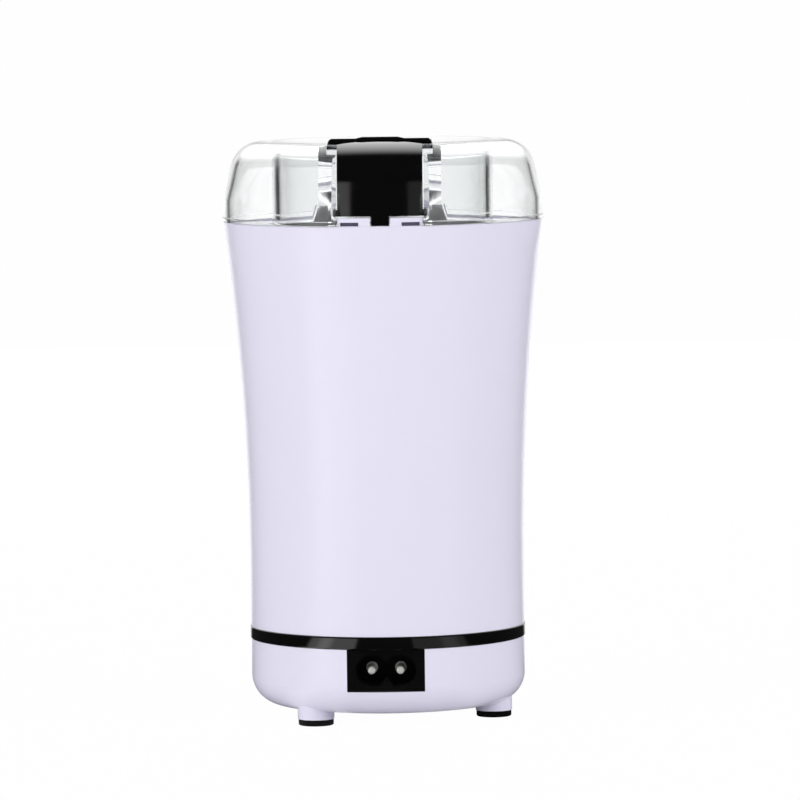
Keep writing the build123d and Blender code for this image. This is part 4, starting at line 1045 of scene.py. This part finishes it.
@dataclass
class Studio:
    """Pale floor, soft lamps, white surroundings and the camera of the photograph."""

    # Camera: metres and degrees, with the focal length in pixels of the picture.
    distance: float = 2.0
    eye_height: float = 0.243
    turn: float = 1.12
    aim_height: float = 0.0959
    aim_aside: float = 0.0045
    roll: float = 0.7
    focal_pixels: float = 6605.0
    image_pixels: int = 800
    # Floor, and how much of it is plain white to the camera.
    floor_half: float = 30.0
    floor_colour: Colour = (240, 240, 242)
    floor_glow: float = 0.985
    # Levels of the world, all but the camera's lowered by one share.
    sky_share: float = 0.8
    fill: float = 0.56
    dark: float = 0.03
    # What gloss shows: panels in front, a backdrop behind and a canopy above it.
    panels: tuple[Panel, ...] = (
        Panel(low=-0.89, high=-0.40, soft=0.02, level=0.76),
        Panel(low=-0.84, high=-0.66, soft=0.08, level=1.45),
        Panel(low=0.34, high=0.90, soft=0.02, level=0.24),
        Panel(low=0.66, high=0.86, soft=0.07, level=0.44),
    )
    panel_top: Range = (0.02, 0.12)
    front_edge: Range = (-0.05, 0.05)
    backdrop: float = 1.18
    backdrop_edge: Range = (0.86, 0.95)
    backdrop_top: Range = (0.7, 0.95)
    canopy: float = 4.4
    canopy_rise: float = 50.0
    canopy_edge: Range = (0.62, 1.0)
    # What shows through the clear lid, besides the backdrop, and what lights the pieces under it.
    overhead: float = 1.0
    overhead_edge: Range = (0.4, 0.8)
    clear_dim: float = 0.05
    clear_front: Range = (-0.3, 0.0)
    near_floor: Range = (1.4, 1.9)
    under_lid: float = 2.6
    on_metal: float = 0.25
    lamps: tuple[Softbox, ...] = (
        Softbox("key_left", turn=-53, height=0.45, distance=1.6, width=1.2, tall=1.5, watts=16.6),
        Softbox("fill_right", turn=55, height=0.45, distance=1.6, width=1.2, tall=1.5, watts=14.6),
        Softbox("back_soft", turn=180, height=0.5, distance=1.6, width=1.2, tall=1.2, watts=13.0),
    )

    def build_camera(self) -> None:
        """Sets the camera by distance, turn and height, aimed at the middle of the picture."""
        turn, roll = radians(self.turn), radians(self.roll)
        right = Vector((cos(turn), sin(turn), 0))
        place = Vector((self.distance * sin(turn), -self.distance * cos(turn), self.eye_height))
        aim = right * self.aim_aside + Vector((0, 0, self.aim_height))
        ahead = (aim - place).normalized()
        right = ahead.cross(Vector((0, 0, 1))).normalized()
        above = right.cross(ahead)
        turned_right = right * cos(roll) - above * sin(roll)
        turned_above = above * cos(roll) + right * sin(roll)
        lens = bpy.data.cameras.new("photo_camera")
        lens.lens = lens.sensor_width * self.focal_pixels / self.image_pixels
        camera = bpy.data.objects.new("photo_camera", lens)
        axes = Matrix((turned_right, turned_above, -ahead)).transposed()
        camera.matrix_world = Matrix.Translation(place) @ axes.to_4x4()
        bpy.context.scene.collection.objects.link(camera)
        bpy.context.scene.camera = camera

    def surroundings(self, wires: Wiring, place: Socket, height: Level) -> Socket:
        """Brightness by direction: white behind the grinder, low panels in front of it, else dark.

        Args:
            wires: the node tree it goes into.
            place: a position or a direction.
            height: how far up the direction points, 0 for level and 1 for straight up.

        Returns:
            The brightness socket.
        """
        level = wires.vector("MULTIPLY", place, (1.0, 1.0, 0.0))
        way = wires.apart(wires.vector("NORMALIZE", level.outputs["Vector"]).outputs["Vector"])
        wall = wires.ramp(way["Y"], self.backdrop_edge, (0.0, self.backdrop))
        wall = wires.joined(Sum.TIMES, wall, wires.ramp(height, self.backdrop_top, (1.0, 0.0)))
        shown = wires.joined(Sum.LARGER, wall, self.dark)
        front = wires.ramp(way["Y"], self.front_edge, (1.0, 0.0))
        front = wires.joined(Sum.TIMES, front, wires.ramp(height, self.panel_top, (1.0, 0.0)))
        for panel in self.panels:
            glow = wires.joined(Sum.TIMES, panel.glow(wires, way["X"]), front)
            shown = wires.joined(Sum.LARGER, shown, glow)
        return shown

    def floor_paint(self) -> bpy.types.Material:
        """Pale matt paint, white to the camera, the surroundings to gloss, clear from below.

        Returns:
            The floor's material.
        """
        paint = bpy.data.materials.new("floor_white")
        paint.use_nodes = True
        wires = Wiring(paint.node_tree)
        path = wires.node("ShaderNodeLightPath").outputs
        ground = wires.node("ShaderNodeNewGeometry").outputs
        matt = wires.node("ShaderNodeBsdfDiffuse")
        matt.inputs["Color"].default_value = linear(self.floor_colour)
        reach = wires.vector("LENGTH", ground["Position"]).outputs["Value"]
        near = wires.ramp(reach, self.near_floor, (1.0, self.clear_dim))
        near = wires.joined(Sum.TIMES, near, path["Is Transmission Ray"])
        around = wires.joined(Sum.LARGER, self.surroundings(wires, ground["Position"], 0.0), near)
        glow = wires.node("ShaderNodeEmission")
        wires.link(wires.either(path["Is Camera Ray"], around, 1.0), glow.inputs["Strength"])
        mirrored = wires.joined(Sum.LARGER, path["Is Glossy Ray"], path["Is Transmission Ray"])
        direct = wires.joined(Sum.TIMES, path["Is Camera Ray"], self.floor_glow)
        top = wires.node("ShaderNodeMixShader")
        wires.link(wires.joined(Sum.LARGER, direct, mirrored), top.inputs["Fac"])
        wires.link(matt.outputs["BSDF"], top.inputs[1])
        wires.link(glow.outputs["Emission"], top.inputs[2])
        clear = wires.node("ShaderNodeBsdfTransparent")
        clear.inputs["Color"].default_value = WHITE
        sides = wires.node("ShaderNodeMixShader")
        wires.link(ground["Backfacing"], sides.inputs["Fac"])
        wires.link(top.outputs["Shader"], sides.inputs[1])
        wires.link(clear.outputs["BSDF"], sides.inputs[2])
        output = wires.node("ShaderNodeOutputMaterial")
        wires.link(sides.outputs["Shader"], output.inputs["Surface"])
        return paint

    def build_floor(self) -> None:
        """Lays the floor, one square with the grinder at its middle."""
        half = self.floor_half
        corners = [(-half, -half, 0), (half, -half, 0), (half, half, 0), (-half, half, 0)]
        mesh = bpy.data.meshes.new("floor")
        mesh.from_pydata(corners, [], [(0, 1, 2, 3)])
        mesh.materials.append(self.floor_paint())
        floor = bpy.data.objects.new("floor", mesh)
        bpy.context.scene.collection.objects.link(floor)

    def sky(self, wires: Wiring, path: bpy.types.NodeOutputs) -> Socket:
        """Brightness of the world to every ray but the camera's.

        Args:
            wires: the world's node tree.
            path: the kinds of the ray that looks at it.

        Returns:
            The brightness socket.
        """
        ways = wires.node("ShaderNodeTexCoord").outputs["Generated"]
        way = wires.apart(ways)
        rise = radians(self.canopy_rise)
        toward = wires.vector("DOT_PRODUCT", ways, (0.0, cos(rise), sin(rise))).outputs["Value"]
        canopy = wires.ramp(toward, self.canopy_edge, (0.0, self.canopy))
        overhead = wires.ramp(way["Z"], self.overhead_edge, (self.clear_dim, self.overhead))
        front = wires.ramp(way["Y"], self.clear_front, (1.0, 0.0))
        through = wires.joined(Sum.LARGER, overhead, front)
        above = wires.either(path["Is Glossy Ray"], through, canopy)
        seen = wires.joined(Sum.LARGER, self.surroundings(wires, ways, way["Z"]), above)
        # Rays that come from metal or from a matt piece, and leave through the clear lid.
        metal = wires.joined(Sum.SMALLER, path["Glossy Depth"], path["Is Transmission Ray"])
        seen = wires.joined(Sum.LARGER, seen, wires.joined(Sum.TIMES, metal, self.on_metal))
        inner = wires.joined(Sum.SMALLER, path["Diffuse Depth"], path["Is Transmission Ray"])
        seen = wires.either(inner, seen, self.under_lid)
        even = wires.either(path["Is Diffuse Ray"], seen, self.fill)
        return wires.joined(Sum.TIMES, even, self.sky_share)

    def build_world(self) -> None:
        """Makes the world: plain white to the camera, the sky's brightness to other rays."""
        world = bpy.data.worlds.new("studio")
        bpy.context.scene.world = world
        world.use_nodes = True
        wires = Wiring(world.node_tree)
        path = wires.node("ShaderNodeLightPath").outputs
        background = wires.node("ShaderNodeBackground")
        background.inputs["Color"].default_value = WHITE
        level = wires.either(path["Is Camera Ray"], self.sky(wires, path), 1.0)
        wires.link(level, background.inputs["Strength"])
        output = wires.node("ShaderNodeOutputWorld")
        wires.link(background.outputs["Background"], output.inputs["Surface"])

    def build(self) -> None:
        """Builds the whole studio."""
        bpy.context.scene.view_settings.view_transform = "Standard"
        self.build_camera()
        self.build_floor()
        self.build_world()
        for lamp in self.lamps:
            lamp.build(Vector((0, 0, self.aim_height)))


def main() -> None:
    """Dresses every sub-assembly, builds its own pieces and sets up the studio."""
    logging.basicConfig(level=logging.INFO, format="%(message)s")
    wardrobe = Wardrobe()
    housing, lid, bowl, motor = Housing(), Lid(), GrindingSet(), Motor()
    for group in (housing, PowerInlet(), lid, bowl, motor, Switchgear()):
        group.dress(wardrobe)
    for group in (housing, lid, bowl, motor):
        group.build(wardrobe)
    Studio().build()


if __name__ == "__main__":
    main()
